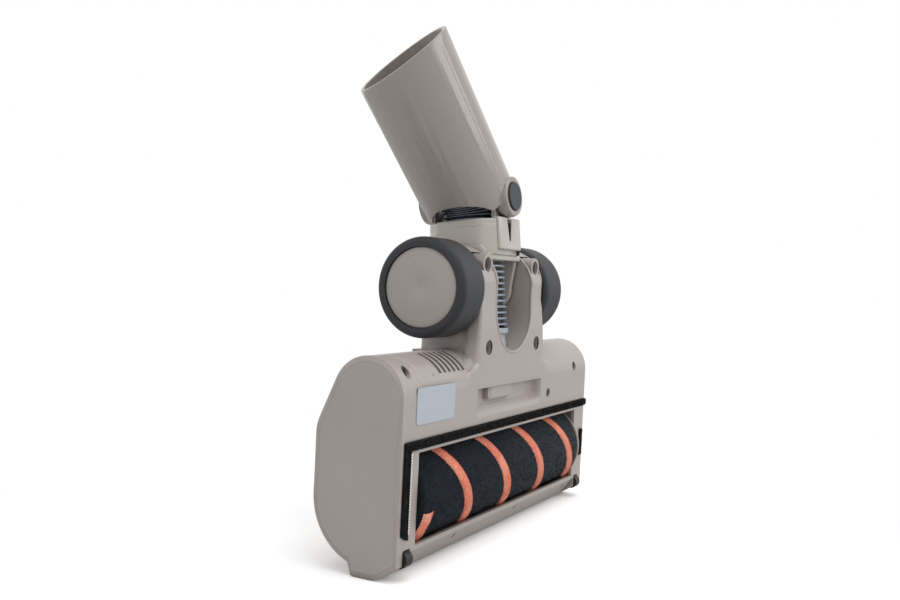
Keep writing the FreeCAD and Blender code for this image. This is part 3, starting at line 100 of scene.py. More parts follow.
def moulded_plastic(name, code, roughness, grain=0.02, mottle=0.025, edge_mm=0.7):
    """Injection moulded ABS: an even colour darkened by painted shade in the creases, a fine spark-eroded
    grain, a satin gloss and soft edges."""
    material, tree = new_material(name)
    place = add(tree, "ShaderNodeTexCoord").outputs["Object"]
    cloud = add(tree, "ShaderNodeTexNoise", {"Vector": place, "Scale": 22.0, "Detail": 3.0})
    shade = add(tree, "ShaderNodeMapRange", {"Value": cloud.outputs["Fac"], "From Min": 0.3, "From Max": 0.7,
                                             "To Min": 1 - mottle, "To Max": 1 + mottle})
    tint = add(tree, "ShaderNodeMix", data_type="RGBA", blend_type="MULTIPLY")
    tint.inputs[0].default_value = 1.0
    tint.inputs[6].default_value = colour(code)
    # Painted shade: ambient occlusion darkens the colour in creases and hollows.
    nook = add(tree, "ShaderNodeAmbientOcclusion", {"Distance": CREASE_MM / 1000}, samples=6)
    dull = add(tree, "ShaderNodeMapRange", {"Value": nook.outputs["AO"], "From Min": 0.05, "From Max": 0.8,
                                            "To Min": CREASE_SHADE, "To Max": 1.0})
    both = add(tree, "ShaderNodeMath", {0: shade.outputs["Result"], 1: dull.outputs["Result"]},
               operation="MULTIPLY")
    tree.links.new(both.outputs["Value"], tint.inputs[7])
    grit = add(tree, "ShaderNodeTexNoise", {"Vector": place, "Scale": 1000 / GRAIN_MM, "Detail": 2.0})
    swell = add(tree, "ShaderNodeTexNoise", {"Vector": place, "Scale": 70.0, "Detail": 1.0})
    height = add(tree, "ShaderNodeMath", {0: swell.outputs["Fac"], 1: 0.6, 2: grit.outputs["Fac"]},
                 operation="MULTIPLY_ADD")
    soft = add(tree, "ShaderNodeBevel", {"Radius": edge_mm / 1000}, samples=6)
    bump = add(tree, "ShaderNodeBump", {"Strength": grain * 4, "Distance": 0.0002,
                                        "Height": height.outputs["Value"], "Normal": soft.outputs["Normal"]})
    gloss = add(tree, "ShaderNodeMapRange", {"Value": cloud.outputs["Fac"], "From Min": 0.3, "From Max": 0.7,
                                             "To Min": roughness * 0.92, "To Max": roughness * 1.1})
    body = add(tree, "ShaderNodeBsdfPrincipled", {"Base Color": tint.outputs[2], "IOR": 1.53,
                                                  "Roughness": gloss.outputs["Result"],
                                                  "Normal": bump.outputs["Normal"]})
    add(tree, "ShaderNodeOutputMaterial", {"Surface": body.outputs["BSDF"]})
    return material


def soft_rubber(name, code, roughness):
    """Moulded soft rubber: dull, with a fine powdery bloom."""
    material, tree = new_material(name)
    place = add(tree, "ShaderNodeTexCoord").outputs["Object"]
    bloom = add(tree, "ShaderNodeTexNoise", {"Vector": place, "Scale": 60.0, "Detail": 5.0})
    ramp = add(tree, "ShaderNodeMapRange", {"Value": bloom.outputs["Fac"], "From Min": 0.3, "From Max": 0.75,
                                            "To Min": 0.9, "To Max": 1.15})
    tint = add(tree, "ShaderNodeMix", data_type="RGBA", blend_type="MULTIPLY")
    tint.inputs[0].default_value = 1.0
    tint.inputs[6].default_value = colour(code)
    tree.links.new(ramp.outputs["Result"], tint.inputs[7])
    pores = add(tree, "ShaderNodeTexNoise", {"Vector": place, "Scale": 1800.0, "Detail": 2.0})
    bump = add(tree, "ShaderNodeBump", {"Strength": 0.12, "Distance": 0.0003, "Height": pores.outputs["Fac"]})
    body = add(tree, "ShaderNodeBsdfPrincipled", {"Base Color": tint.outputs[2], "IOR": 1.5,
                                                  "Roughness": roughness, "Sheen Weight": 0.04,
                                                  "Sheen Roughness": 0.5, "Normal": bump.outputs["Normal"]})
    add(tree, "ShaderNodeOutputMaterial", {"Surface": body.outputs["BSDF"]})
    return material


def pile(name, shaded_root, lit_tip, scale_mm=0.5):
    """Cut pile of fine fibres: dark between the tufts in painted shade, lighter at the tips in a painted
    highlight, with a velvet edge.
    """
    material, tree = new_material(name)
    place = add(tree, "ShaderNodeTexCoord").outputs["Object"]
    tufts = add(tree, "ShaderNodeTexNoise", {"Vector": place, "Scale": 1000 / scale_mm, "Detail": 3.0,
                                             "Roughness": 0.7})
    lay = add(tree, "ShaderNodeTexNoise", {"Vector": place, "Scale": 90.0, "Detail": 3.0})
    blend = add(tree, "ShaderNodeMath", {0: lay.outputs["Fac"], 1: 0.7, 2: tufts.outputs["Fac"]},
                operation="MULTIPLY_ADD")
    ramp = add(tree, "ShaderNodeMapRange", {"Value": blend.outputs["Value"], "From Min": 0.6,
                                            "From Max": 1.1})
    tint = add(tree, "ShaderNodeMix", data_type="RGBA")
    tree.links.new(ramp.outputs["Result"], tint.inputs[0])
    tint.inputs[6].default_value = colour(shaded_root)
    tint.inputs[7].default_value = colour(lit_tip)
    bump = add(tree, "ShaderNodeBump", {"Strength": 0.45, "Distance": 0.0005,
                                        "Height": blend.outputs["Value"]})
    body = add(tree, "ShaderNodeBsdfPrincipled", {"Base Color": tint.outputs[2], "Roughness": 0.9,
                                                  "IOR": 1.5, "Specular IOR Level": 0.2,
                                                  "Sheen Weight": 0.1, "Sheen Roughness": 0.4,
                                                  "Normal": bump.outputs["Normal"]})
    add(tree, "ShaderNodeOutputMaterial", {"Surface": body.outputs["BSDF"]})
    return material


def drawn_metal(name, code, roughness):
    """Steel with the fine lines of drawing or turning, and a little colour drift."""
    material, tree = new_material(name)
    place = add(tree, "ShaderNodeTexCoord").outputs["Object"]
    lines = add(tree, "ShaderNodeMapping", {"Vector": place, "Scale": (40.0, 1600.0, 1600.0)})
    streak = add(tree, "ShaderNodeTexNoise", {"Vector": lines.outputs["Vector"], "Scale": 1.0, "Detail": 3.0})
    gloss = add(tree, "ShaderNodeMapRange", {"Value": streak.outputs["Fac"], "From Min": 0.25,
                                             "From Max": 0.75, "To Min": roughness * 0.75,
                                             "To Max": roughness * 1.3})
    bump = add(tree, "ShaderNodeBump", {"Strength": 0.1, "Distance": 0.0001, "Height": streak.outputs["Fac"]})
    body = add(tree, "ShaderNodeBsdfPrincipled", {"Base Color": colour(code), "Metallic": 1.0,
                                                  "Roughness": gloss.outputs["Result"],
                                                  "Normal": bump.outputs["Normal"]})
    add(tree, "ShaderNodeOutputMaterial", {"Surface": body.outputs["BSDF"]})
    return material


def blown_hose(name, valley, crest):
    """Blow moulded PVC hose: dark slate between its rings, lighter on their crests in a painted highlight."""
    material, tree = new_material(name)
    place = add(tree, "ShaderNodeTexCoord").outputs["Object"]
    height = add(tree, "ShaderNodeAttribute", attribute_name="crest")
    dust = add(tree, "ShaderNodeTexNoise", {"Vector": place, "Scale": 160.0, "Detail": 3.0})
    crest_highlight = add(tree, "ShaderNodeMath", {0: dust.outputs["Fac"], 1: 0.35, 2: height.outputs["Fac"]},
               operation="MULTIPLY_ADD")
    ramp = add(tree, "ShaderNodeMapRange", {"Value": crest_highlight.outputs["Value"], "From Min": 0.55,
                                            "From Max": 1.15}, interpolation_type="SMOOTHSTEP")
    tint = add(tree, "ShaderNodeMix", data_type="RGBA")
    tree.links.new(ramp.outputs["Result"], tint.inputs[0])
    tint.inputs[6].default_value = colour(valley)
    tint.inputs[7].default_value = colour(crest)
    bump = add(tree, "ShaderNodeBump", {"Strength": 0.1, "Distance": 0.0003, "Height": dust.outputs["Fac"]})
    body = add(tree, "ShaderNodeBsdfPrincipled", {"Base Color": tint.outputs[2], "Roughness": 0.28,
                                                  "IOR": 1.54, "Normal": bump.outputs["Normal"]})
    add(tree, "ShaderNodeOutputMaterial", {"Surface": body.outputs["BSDF"]})
    return material


greige_abs = moulded_plastic("greige_abs_moulded", "#A79E99", 0.33)
# The side panels' finish is a slightly darker copy of the greige: painted shade for the less lit ends.
side_abs_painted_shade = moulded_plastic("greige_abs_side_panel_painted_shade", "#A39A95", 0.36)
# The tube's finish is a darker copy of the greige: painted shade for its less lit side.
tube_abs_painted_shade = moulded_plastic("greige_abs_polished_tube_painted_shade", "#988F8A", 0.2, mottle=0.015)
neck_abs = moulded_plastic("light_greige_abs_neck", "#B4AFA7", 0.26)
hub_abs = moulded_plastic("light_greige_abs_hub_cap", "#A09992", 0.42, grain=0.04)
dark_abs = moulded_plastic("black_nylon_moulded", "#1E2023", 0.42, grain=0.05)
cuff_abs = moulded_plastic("blue_grey_abs_cuff", "#A3AAB3", 0.3)
wheel_rubber = soft_rubber("black_polyurethane_front_wheel", "#050608", 0.5)
cap_abs = moulded_plastic("slate_abs_pivot_cap", "#16202A", 0.5)
# The hose's crest colour is a painted highlight on its rings.
hose_pvc = blown_hose("slate_pvc_hose_blown", "#181B20", "#8D99A6")
# Painted shade: a dark brown laid on the vent floors and on the far wall of the lock slot's V.
vent_shade = moulded_plastic("brown_shade_in_the_vents", "#3A302C", 0.6)
board_glass = moulded_plastic("green_glass_epoxy_board", "#1F5A3A", 0.35)
label_film = moulded_plastic("matt_polyester_label_film", "#AEB5BD", 0.5, grain=0.01, mottle=0.01,
                             edge_mm=0.1)
tyre_rubber = soft_rubber("charcoal_tpe_tyre", "#1F2126", 0.6)
belt_rubber = soft_rubber("black_neoprene_belt", "#232323", 0.7)
# In each pile the first colour is painted shade between the tufts, and the second a painted highlight at the
# tips.
dark_pile = pile("navy_nylon_plush_woven", "#0D1218", "#1C2530", 0.35)
coral_pile = pile("coral_nylon_plush_woven", "#E67C62", "#FFBCA3", 0.35)
black_flock = pile("black_flock_glued", "#050505", "#1A1B1A", 0.4)
backing = pile("pale_woven_backing_tape", "#D9D8D4", "#F6F6F4", 0.3)
steel = drawn_metal("zinc_plated_steel_drawn", "#6E7072", 0.4)
can_steel = drawn_metal("zinc_plated_motor_can", "#8A8D91", 0.45)

FINISHES = {
    "base_plate": greige_abs, "top_cover": greige_abs, "yoke_cover": greige_abs,
    "left_side_cap": side_abs_painted_shade, "right_side_cap": side_abs_painted_shade, "blank_label": label_film,
    "rear_seal_strip": black_flock, "left_seal_strip": black_flock, "right_seal_strip": black_flock,
    "roller_core": dark_abs, "roller_sleeve": dark_pile, "roller_stripes": coral_pile,
    "roller_pulley": dark_abs, "left_roller_bearing": steel, "right_roller_bearing": steel,
    "brush_motor": can_steel, "motor_pulley": steel, "drive_belt": belt_rubber,
    "control_board": board_glass, "suction_duct": dark_abs, "hose_cuff": cuff_abs,
    "suction_hose": hose_pvc, "left_wheel_axle": steel, "right_wheel_axle": steel,
    "left_wheel_core": dark_abs, "right_wheel_core": dark_abs, "left_tyre": tyre_rubber,
    "right_tyre": tyre_rubber, "left_wheel_cap": hub_abs, "right_wheel_cap": hub_abs,
    "left_front_wheel": wheel_rubber, "right_front_wheel": wheel_rubber, "left_front_pin": steel,
    "right_front_pin": steel, "case_screws": steel, "fork_screws": steel, "neck_front": neck_abs,
    "neck_rear": neck_abs, "swivel_tube": tube_abs_painted_shade, "front_pivot_cap": cap_abs,
    "rear_pivot_cap": cap_abs, "swivel_pins": steel,
}
for name, finish in FINISHES.items():
    nodes[name].data.materials.clear()
    nodes[name].data.materials.append(finish)

# Piece helpers


def body_of(name):
    """The moving body that a CAD node belongs to."""
    return next(body for body, members in frame["record"]["behaviour"]["bodies"].items() if name in members)


def place_piece(name, mesh, body, finish, smooth_faces=True):
    """A new object with its finish, which rides on a body if one is given."""
    piece = bpy.data.objects.new(name, mesh)
    bpy.context.scene.collection.objects.link(piece)
    mesh.materials.clear()
    mesh.materials.append(finish)
    for face in mesh.polygons:
        face.use_smooth = smooth_faces
    if body:
        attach(piece, body)
    return piece


def settle(piece):
    """Turns a piece's modifiers into its mesh."""
    graph = bpy.context.evaluated_depsgraph_get()
    mesh = bpy.data.meshes.new_from_object(piece.evaluated_get(graph), depsgraph=graph)
    piece.modifiers.clear()
    piece.data = mesh


def smooth(value):
    """Eases from 0 to 1."""
    value = min(max(value, 0), 1)
    return value * value * (3 - 2 * value)


def sheet_mesh(name, rows, closed=False):
    """A mesh from rows of points, each row joined to the next."""
    shape = bmesh.new()
    lines = [[shape.verts.new(point) for point in row] for row in rows]
    for first, second in zip(lines, lines[1:]):
        count = len(first)
        for step in range(count if closed else count - 1):
            after = (step + 1) % count
            shape.faces.new((first[step], first[after], second[after], second[step]))
    mesh = bpy.data.meshes.new(name)
    shape.to_mesh(mesh)
    shape.free()
    return mesh


def merged_copy(name):
    """A copy of a CAD node's mesh with its points merged and its flat faces whole."""
    mesh = nodes[name].data.copy()
    shape = bmesh.new()
    shape.from_mesh(mesh)
    bmesh.ops.remove_doubles(shape, verts=shape.verts, dist=0.000002)
    bmesh.ops.dissolve_limit(shape, angle_limit=math.radians(0.6), verts=shape.verts, edges=shape.edges)
    shape.to_mesh(mesh)
    shape.free()
    return mesh


def rounded(name, width_mm):
    """A CAD node again with its hard edges rolled over, as a mould leaves them. It stands for the node."""
    piece = place_piece(name + "_moulding", merged_copy(name), body_of(name), FINISHES[name])
    edges = piece.modifiers.new("edges", "BEVEL")
    edges.width = width_mm / 1000
    edges.segments = 2
    edges.limit_method = "ANGLE"
    edges.angle_limit = math.radians(34)
    edges.use_clamp_overlap = False
    edges.harden_normals = True
    settle(piece)
    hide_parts(name)


def lathe(name, centre, profile, body, finish):
    """A ring turned about the X direction: profile holds places along X and distances from the axis."""
    steps = 96
    shape = bmesh.new()
    rings = []
    for across, radius in profile:
        rings.append([shape.verts.new((across, centre[1] + radius * math.cos(turn),
                                       centre[2] + radius * math.sin(turn)))
                      for turn in (math.tau * step / steps for step in range(steps))])
    for first, second in zip(rings, rings[1:] + rings[:1]):
        for step in range(steps):
            after = (step + 1) % steps
            shape.faces.new((first[step], first[after], second[after], second[step]))
    bmesh.ops.recalc_face_normals(shape, faces=shape.faces)
    mesh = bpy.data.meshes.new(name)
    shape.to_mesh(mesh)
    shape.free()
    return place_piece(name, mesh, body, finish)


def pile_nodes():
    """A node tree that plants leaning fibres all over a surface."""
    tree = bpy.data.node_groups.new("planted_pile", "GeometryNodeTree")
    face = tree.interface
    face.new_socket("Geometry", in_out="INPUT", socket_type="NodeSocketGeometry")
    for label in ("Density", "Length", "Thickness", "Spread"):
        face.new_socket(label, in_out="INPUT", socket_type="NodeSocketFloat")
    face.new_socket("Seed", in_out="INPUT", socket_type="NodeSocketInt")
    face.new_socket("Fibre", in_out="INPUT", socket_type="NodeSocketMaterial")
    face.new_socket("Geometry", in_out="OUTPUT", socket_type="NodeSocketGeometry")
    given = add(tree, "NodeGroupInput").outputs
    spots = add(tree, "GeometryNodeDistributePointsOnFaces",
                {"Mesh": given["Geometry"], "Density": given["Density"], "Seed": given["Seed"]})
    tuft = add(tree, "GeometryNodeMeshCone", {"Vertices": 3, "Radius Top": 0.0,
                                              "Radius Bottom": given["Thickness"],
                                              "Depth": given["Length"]}, fill_type="NONE")
    low = add(tree, "ShaderNodeMath", {0: given["Spread"], 1: -1.0}, operation="MULTIPLY")
    tilt = add(tree, "FunctionNodeRandomValue", {"Seed": given["Seed"]}, data_type="FLOAT_VECTOR")
    tree.links.new(low.outputs["Value"], tilt.inputs["Min"])
    tree.links.new(given["Spread"], tilt.inputs["Max"])
    bend = add(tree, "FunctionNodeEulerToRotation", {"Euler": tilt.outputs["Value"]})
    aim = add(tree, "FunctionNodeRotateRotation", {"Rotation": spots.outputs["Rotation"],
                                                   "Rotate By": bend.outputs["Rotation"]},
              rotation_space="LOCAL")
    size = add(tree, "FunctionNodeRandomValue", {"Seed": given["Seed"]}, data_type="FLOAT")
    for socket in size.inputs:
        if socket.name == "Min" and socket.type == "VALUE":
            socket.default_value = 0.6
        if socket.name == "Max" and socket.type == "VALUE":
            socket.default_value = 1.15
    number = next(socket for socket in size.outputs if socket.type == "VALUE")
    plant = add(tree, "GeometryNodeInstanceOnPoints", {"Points": spots.outputs["Points"],
                                                       "Instance": tuft.outputs["Mesh"],
                                                       "Rotation": aim.outputs["Rotation"], "Scale": number})
    both = add(tree, "GeometryNodeJoinGeometry")
    real = add(tree, "GeometryNodeRealizeInstances", {"Geometry": plant.outputs["Instances"]})
    tree.links.new(real.outputs["Geometry"], both.inputs["Geometry"])
    tree.links.new(given["Geometry"], both.inputs["Geometry"])
    dyed = add(tree, "GeometryNodeSetMaterial", {"Geometry": both.outputs["Geometry"],
                                                 "Material": given["Fibre"]})
    add(tree, "NodeGroupOutput", {"Geometry": dyed.outputs["Geometry"]})
    return tree


PILE = pile_nodes()


def plant_pile(piece, per_mm2, length_mm, thick_mm, spread, seed, fibre):
    """Covers a piece with fibres and turns them into its mesh. Real fibres are about 0.05 mm thick, too
    fine to show, so these are drawn thicker."""
    grown = piece.modifiers.new("pile", "NODES")
    grown.node_group = PILE
    sockets = {item.name: item.identifier for item in PILE.interface.items_tree if item.in_out == "INPUT"}
    for label, value in (("Density", per_mm2 * 1e6), ("Length", length_mm / 1000),
                         ("Thickness", thick_mm / 1000), ("Spread", spread), ("Seed", seed),
                         ("Fibre", fibre)):
        grown[sockets[label]] = value
    settle(piece)


# Hard mouldings with rolled edges
for name, width in (("neck_front", 0.5), ("neck_rear", 0.5), ("swivel_tube", 0.45)):
    rounded(name, width)


# Side panels
# Each end is one flush face with a soft rim and a fine raised line, as the photograph shows it.
END_MIDDLE = Vector((0.006, 0.055))
END_FACE = 0.00005
LINE_RISE = 0.00018
END_RIM = ((0.0, -0.0004), (0.0001, -0.0001), (0.0004, END_FACE), (0.0025, END_FACE), (0.0026, LINE_RISE),
           (0.00275, LINE_RISE), (0.0029, END_FACE), (0.0035, END_FACE))


def end_outline(end):
    """The outer outline of the shell's end face, as depths and heights in order."""
    edges = []
    for name in ("base_plate", "top_cover"):
        mesh = nodes[name].data
        for edge in mesh.edges:
            first, second = (mesh.vertices[index].co for index in edge.vertices)
            if abs(first.x - end) < 0.00001 and abs(second.x - end) < 0.00001:
                edges.append((first.yz - END_MIDDLE, second.yz - END_MIDDLE))

    def hidden(spot):
        """Whether the shell's face goes on beyond this spot, as seen from the middle."""
        ray = spot.normalized() * 0.2
        for first, second in edges:
            hit = geometry.intersect_line_line_2d(Vector((0, 0)), ray, first, second)
            if hit and hit.length > spot.length + 0.0002:
                return True
        return False

    spots = {}
    for edge in edges:
        for spot in edge:
            key = round(math.degrees(math.atan2(spot.y, spot.x)), 1)
            if key not in spots and not hidden(spot):
                spots[key] = spot
    corners = [spots[key] + END_MIDDLE for key in sorted(spots)]
    points = []
    for first, second in zip(corners, corners[1:] + corners[:1]):
        parts = max(1, round((second - first).length / 0.002))
        points += [first.lerp(second, part / parts) for part in range(parts)]
    return points


def inset(points, distance):
    """An outline moved in by a distance."""
    return [point + (END_MIDDLE - point).normalized() * distance for point in points]


for side, sign in (("left", -1), ("right", 1)):
    low, high = (Vector(corner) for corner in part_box(side + "_side_cap"))
    end = low.x if sign < 0 else high.x
    outer = end_outline(end)
    rows = [[(end + sign * out, point.x, point.y) for point in inset(outer, distance)]
            for distance, out in END_RIM]
    middle = Vector((end + sign * END_FACE, *END_MIDDLE))
    edge = rows[-1]
    for share in (0.25, 0.5, 0.75, 0.995):
        rows.append([middle * share + Vector(point) * (1 - share) for point in edge])
    if sign > 0:
        rows = [row[::-1] for row in rows]
    panel = sheet_mesh(side + "_end_panel", rows, closed=True)
    place_piece(side + "_end_panel", panel, "housing", side_abs_painted_shade)

# Roller
# The sleeve is a plush tube, and two coral ribbons of longer pile wind round it. LEAD is how far a ribbon
# gets in one turn, FIRST the angle it starts at, and STUB the part of a turn that it laps the near end.
PLUSH = 0.0012
LEAD = 0.1008
WIDTH = 0.0092
FIRST = math.radians(90 + 125)
STUB = math.radians(24)
STUB_STEPS = 24
RIBBON_STEPS = 720
low, high = (Vector(corner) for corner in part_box("roller_sleeve"))
axle = (low + high) / 2
reach = (high.z - low.z) / 2 + PLUSH
half = (high.x - low.x) / 2
sleeve = lathe("roller_plush", axle, [
    (-half, reach * 0.82), (-half, reach - 0.0022), (-half + 0.0006, reach - 0.0008),
    (-half + 0.002, reach), (half - 0.002, reach), (half - 0.0006, reach - 0.0008),
    (half, reach - 0.0022), (half, reach * 0.82),
], "roller", dark_pile)
plant_pile(sleeve, per_mm2=1.5, length_mm=0.7, thick_mm=0.16, spread=0.9, seed=3, fibre=dark_pile)
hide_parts("roller_sleeve")
lathe("roller_end_ring", axle, [
    (half + 0.0002, 0.018), (half + 0.0002, reach + 0.0002), (half + 0.0012, reach + 0.0002),
    (half + 0.0012, 0.018),
], "roller", greige_abs)

shape = bmesh.new()
turns = (half * 2 - WIDTH) / LEAD
for start in (0, math.pi):
    rows = []
    for step in range(-STUB_STEPS, RIBBON_STEPS + 1):
        share = max(step, 0) / RIBBON_STEPS
        turn = FIRST + start + share * turns * math.tau + min(step, 0) / STUB_STEPS * STUB
        left = -half + share * turns * LEAD
        row = []
        for place in range(9):
            across = place / 8
            ragged = (0.0004 * math.sin(step * 1.7 + across * 40)
                      + 0.0003 * math.sin(step * 4.3 + start + across)) if place in (0, 8) else 0
            rise = 0.0008 * math.sin(math.pi * across) ** 0.4 if 0 < across < 1 else -0.0004
            distance = reach + 0.0002 + rise
            row.append((left + WIDTH * across + ragged, axle.y + distance * math.cos(turn),
                        axle.z + distance * math.sin(turn)))
        rows.append(row)
    shape.from_mesh(sheet_mesh("ribbon_turns", rows))
bmesh.ops.recalc_face_normals(shape, faces=shape.faces)
mesh = bpy.data.meshes.new("roller_ribbons")
shape.to_mesh(mesh)
shape.free()
ribbons = place_piece("roller_ribbons", mesh, "roller", coral_pile)
plant_pile(ribbons, per_mm2=2.6, length_mm=0.8, thick_mm=0.2, spread=1.0, seed=5, fibre=coral_pile)
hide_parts("roller_stripes")

# Suction hose
# A blown hose of round rings, straight up through the neck and then bent over into the tube. Its heights
# are measured from PIVOT, the neck's tilt axis, along the leaning neck. PITCH is from ring to ring.
PIVOT = Vector((0, 0.0069, 0.1435))
LEAN = Matrix.Rotation(math.radians(-6.2), 4, "X")
PITCH = 0.0035
BEND = 0.026
SWIVEL = math.radians(46)
STRAIGHT = 0.0536 - BEND * math.tan(SWIVEL / 2)
LOW_END = STRAIGHT - 19 * PITCH
HIGH_END = 6 * PITCH
TOTAL = STRAIGHT - LOW_END + BEND * SWIVEL + HIGH_END
HOSE_Y = 0.0008
VALLEY_R = 0.0156
RING_RISE = 0.0024
RING_STEPS = 8
HOSE_SIDES = 64
HOSE_WALL = 0.0006


def hose_place(along):
    """The hose's middle and the direction to its outside of the bend, at a length along it."""
    rise = LOW_END + along
    if rise < STRAIGHT:
        return Vector((0, HOSE_Y, rise)), Vector((1, 0, 0))
    turn = min((rise - STRAIGHT) / BEND, SWIVEL)
    rest = max(rise - STRAIGHT - BEND * SWIVEL, 0)
    middle = Vector((-BEND + BEND * math.cos(turn) - rest * math.sin(turn), HOSE_Y,
                     STRAIGHT + BEND * math.sin(turn) + rest * math.cos(turn)))
    return middle, Vector((math.cos(turn), 0, math.sin(turn)))


rows = []
crests = []
slices = int(TOTAL / PITCH * RING_STEPS)
for step in range(slices + 1):
    along = TOTAL * step / slices
    crest = (0.5 - 0.5 * math.cos(math.tau * along / PITCH)) ** 0.8
    radius = VALLEY_R + RING_RISE * crest
    middle, side = hose_place(along)
    row = []
    for turn in range(HOSE_SIDES):
        angle = math.tau * turn / HOSE_SIDES
        spot = middle + side * radius * math.cos(angle) + Vector((0, 1, 0)) * radius * math.sin(angle)
        row.append(PIVOT + LEAN @ spot)
        crests.append(crest)
    rows.append(row)
# The hose is in two lengths that meet inside the neck.
CUT = round((0.034 - LOW_END) / PITCH) * RING_STEPS
for name, chosen, bodies, start, end in (
        ("hose_rings", slice(0, CUT + 1), ("housing", "neck"), -0.018, 0.02),
        ("hose_rings_in_tube", slice(CUT, None), ("neck", body_of("swivel_tube")), 0.036, 0.066)):
    mesh = sheet_mesh(name, rows[chosen], closed=True)
    # The crest values carry the painted highlight into the hose's colour.
    crest_highlight = mesh.attributes.new("crest", "FLOAT", "POINT")
    points = slice(chosen.start * HOSE_SIDES, chosen.stop and chosen.stop * HOSE_SIDES)
    crest_highlight.data.foreach_set("value", crests[points])
    hose = place_piece(name, mesh, None, hose_pvc)
    shell = hose.modifiers.new("wall", "SOLIDIFY")
    shell.thickness = HOSE_WALL
    shell.offset = -1
    settle(hose)
    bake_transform(hose)
    if bodies[0] == "housing":
        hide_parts("suction_hose")


# Finger recess
# A smooth dish with a raised thumb block, laid over the stepped recess of the plate.
FACE = -0.0193
RECESS_LOW = 0.0722
RECESS_HIGH = 0.0896
RECESS_HALF = 0.0452
RECESS_DEPTH = 0.0058
MARGIN = 0.0012
rows = []
for up in range(49):
    height = RECESS_LOW - MARGIN + (RECESS_HIGH - RECESS_LOW + MARGIN * 2) * up / 48
    row = []
    for across in range(161):
        place = -RECESS_HALF - MARGIN + (RECESS_HALF + MARGIN) * 2 * across / 160
        ends = smooth((RECESS_HALF - abs(place)) / 0.004)
        floor = smooth((height - RECESS_LOW) / 0.0085) * smooth((RECESS_HIGH - height) / 0.0026)
        depth = RECESS_DEPTH * ends * floor
        block = smooth((0.0165 - abs(place + 0.011)) / 0.0035) * smooth((height - 0.0782) / 0.0035)
        depth = min(depth, RECESS_DEPTH - 0.0038 * block)
        row.append((place, FACE - 0.00004 + depth, height))
    rows.append(row)
place_piece("finger_recess_dish", sheet_mesh("finger_recess_dish", rows), "housing", greige_abs)

# Vents
# Six slots down the rounded heel of the housing, each with a floor in painted shade between soft ribs.
# VENT_FLOOR and VENT_EDGE are half a slot's width at its floor and at its rim.
HEEL_Y = 0.0012
HEEL_Z = 0.089
HEEL_R = 0.0205
VENT_LOW = math.radians(31)
VENT_HIGH = math.radians(75)
VENT_FIRST = -0.085
VENT_PITCH = 0.00522
VENT_FLOOR = 0.001
VENT_EDGE = 0.0013
RIB_MIDDLE = 0.0026
SLANT = -0.0033
SHEET_LEFT = 0.118
PLAIN_FROM = 0.088
SHEET_RIGHT = -0.0544
SHEET_STEPS = 56
CLEARANCE = 0.00003
SHEET_LIFT = 0.00045
VENT_DEPTH = 0.00032


def sheet_angle(step):
    """Where a row of the sheet lies round the heel."""
    return math.radians(14 + 74 * step / SHEET_STEPS)


def vent_sheet():
    """The curved sheet with its six slots, and which of its faces are slot floors."""
    columns = [(-SHEET_LEFT + 0.002 * step, 0) for step in range(16)]
    for count in range(6):
        middle = VENT_FIRST + VENT_PITCH * count
        columns += [(middle - VENT_EDGE, 0), (middle - VENT_FLOOR, 1), (middle, 1), (middle + VENT_FLOOR, 1),
                    (middle + VENT_EDGE, 0), (middle + RIB_MIDDLE, 0)]
    columns += [(-0.0562 + 0.0006 * step, 0) for step in range(4)]
    rows = []
    for step in range(SHEET_STEPS + 1):
        angle = sheet_angle(step)
        slot = smooth((angle - VENT_LOW) / 0.05) * smooth((VENT_HIGH - angle) / 0.12)
        border = smooth((step / SHEET_STEPS) / 0.12) * smooth((1 - step / SHEET_STEPS) / 0.12)
        row = []
        for across, deep in columns:
            rim = smooth((across + SHEET_LEFT) / 0.005) * smooth((SHEET_RIGHT - across) / 0.0018)
            lift = CLEARANCE + SHEET_LIFT * border * rim - VENT_DEPTH * deep * slot
            shift = SLANT * (angle - VENT_LOW) / (VENT_HIGH - VENT_LOW)
            if across < -PLAIN_FROM:
                reach = 0.108 + 0.01 * smooth((angle - math.radians(50)) / math.radians(35))
                across = -PLAIN_FROM - (reach - PLAIN_FROM) * (-PLAIN_FROM - across) / 0.03
            row.append((across + shift, HEEL_Y - (HEEL_R + lift) * math.cos(angle),
                        HEEL_Z + (HEEL_R + lift) * math.sin(angle)))
        rows.append(row)
    dark = []
    for step in range(SHEET_STEPS):
        angle = sheet_angle(step + 0.5)
        for place in range(len(columns) - 1):
            inside = columns[place][1] or columns[place + 1][1]
            dark.append(1 if inside and VENT_LOW < angle < VENT_HIGH else 0)
    return rows, dark


rows, dark = vent_sheet()
vents = place_piece("vent_louvres", sheet_mesh("vent_louvres", rows), "housing", greige_abs)
# The slot floors take the brown vent_shade finish, which is painted shade.
vents.data.materials.append(vent_shade)
vents.data.polygons.foreach_set("material_index", dark)

# Fork
# The legs grow out of the housing with a round foot, and a bead runs round the slot between them.
FORK_FACE = 0.0022
FORK_HALF = 0.0435
SLOT_HALF = 0.025
SLOT_MIDDLE = 0.1325
WHEEL_Y = 0.0274
WHEEL_Z = 0.1435
FORK_R = 0.0256
SET_BACK = 0.0205
HOLE = Vector((0.0338, 0.1112))
HOLE_R = 0.0042
HEEL_FRONT = 0.0217
LEG_BACK = 0.0214
LEG_LOW = 0.0885
LEG_RISE = 0.0595
LEG_STEPS = 120
PAD_TOP = 0.1285
BEAD_R = 0.0009
BEAD_GAP = 0.0003
BEAD_PROUD = 0.0004


def leg_front(height):
    """How deep the leg's front lies at a height: flush with the plate below, then easing back."""
    return 0.00117 + 0.001 * smooth((height - 0.118) / 0.022)


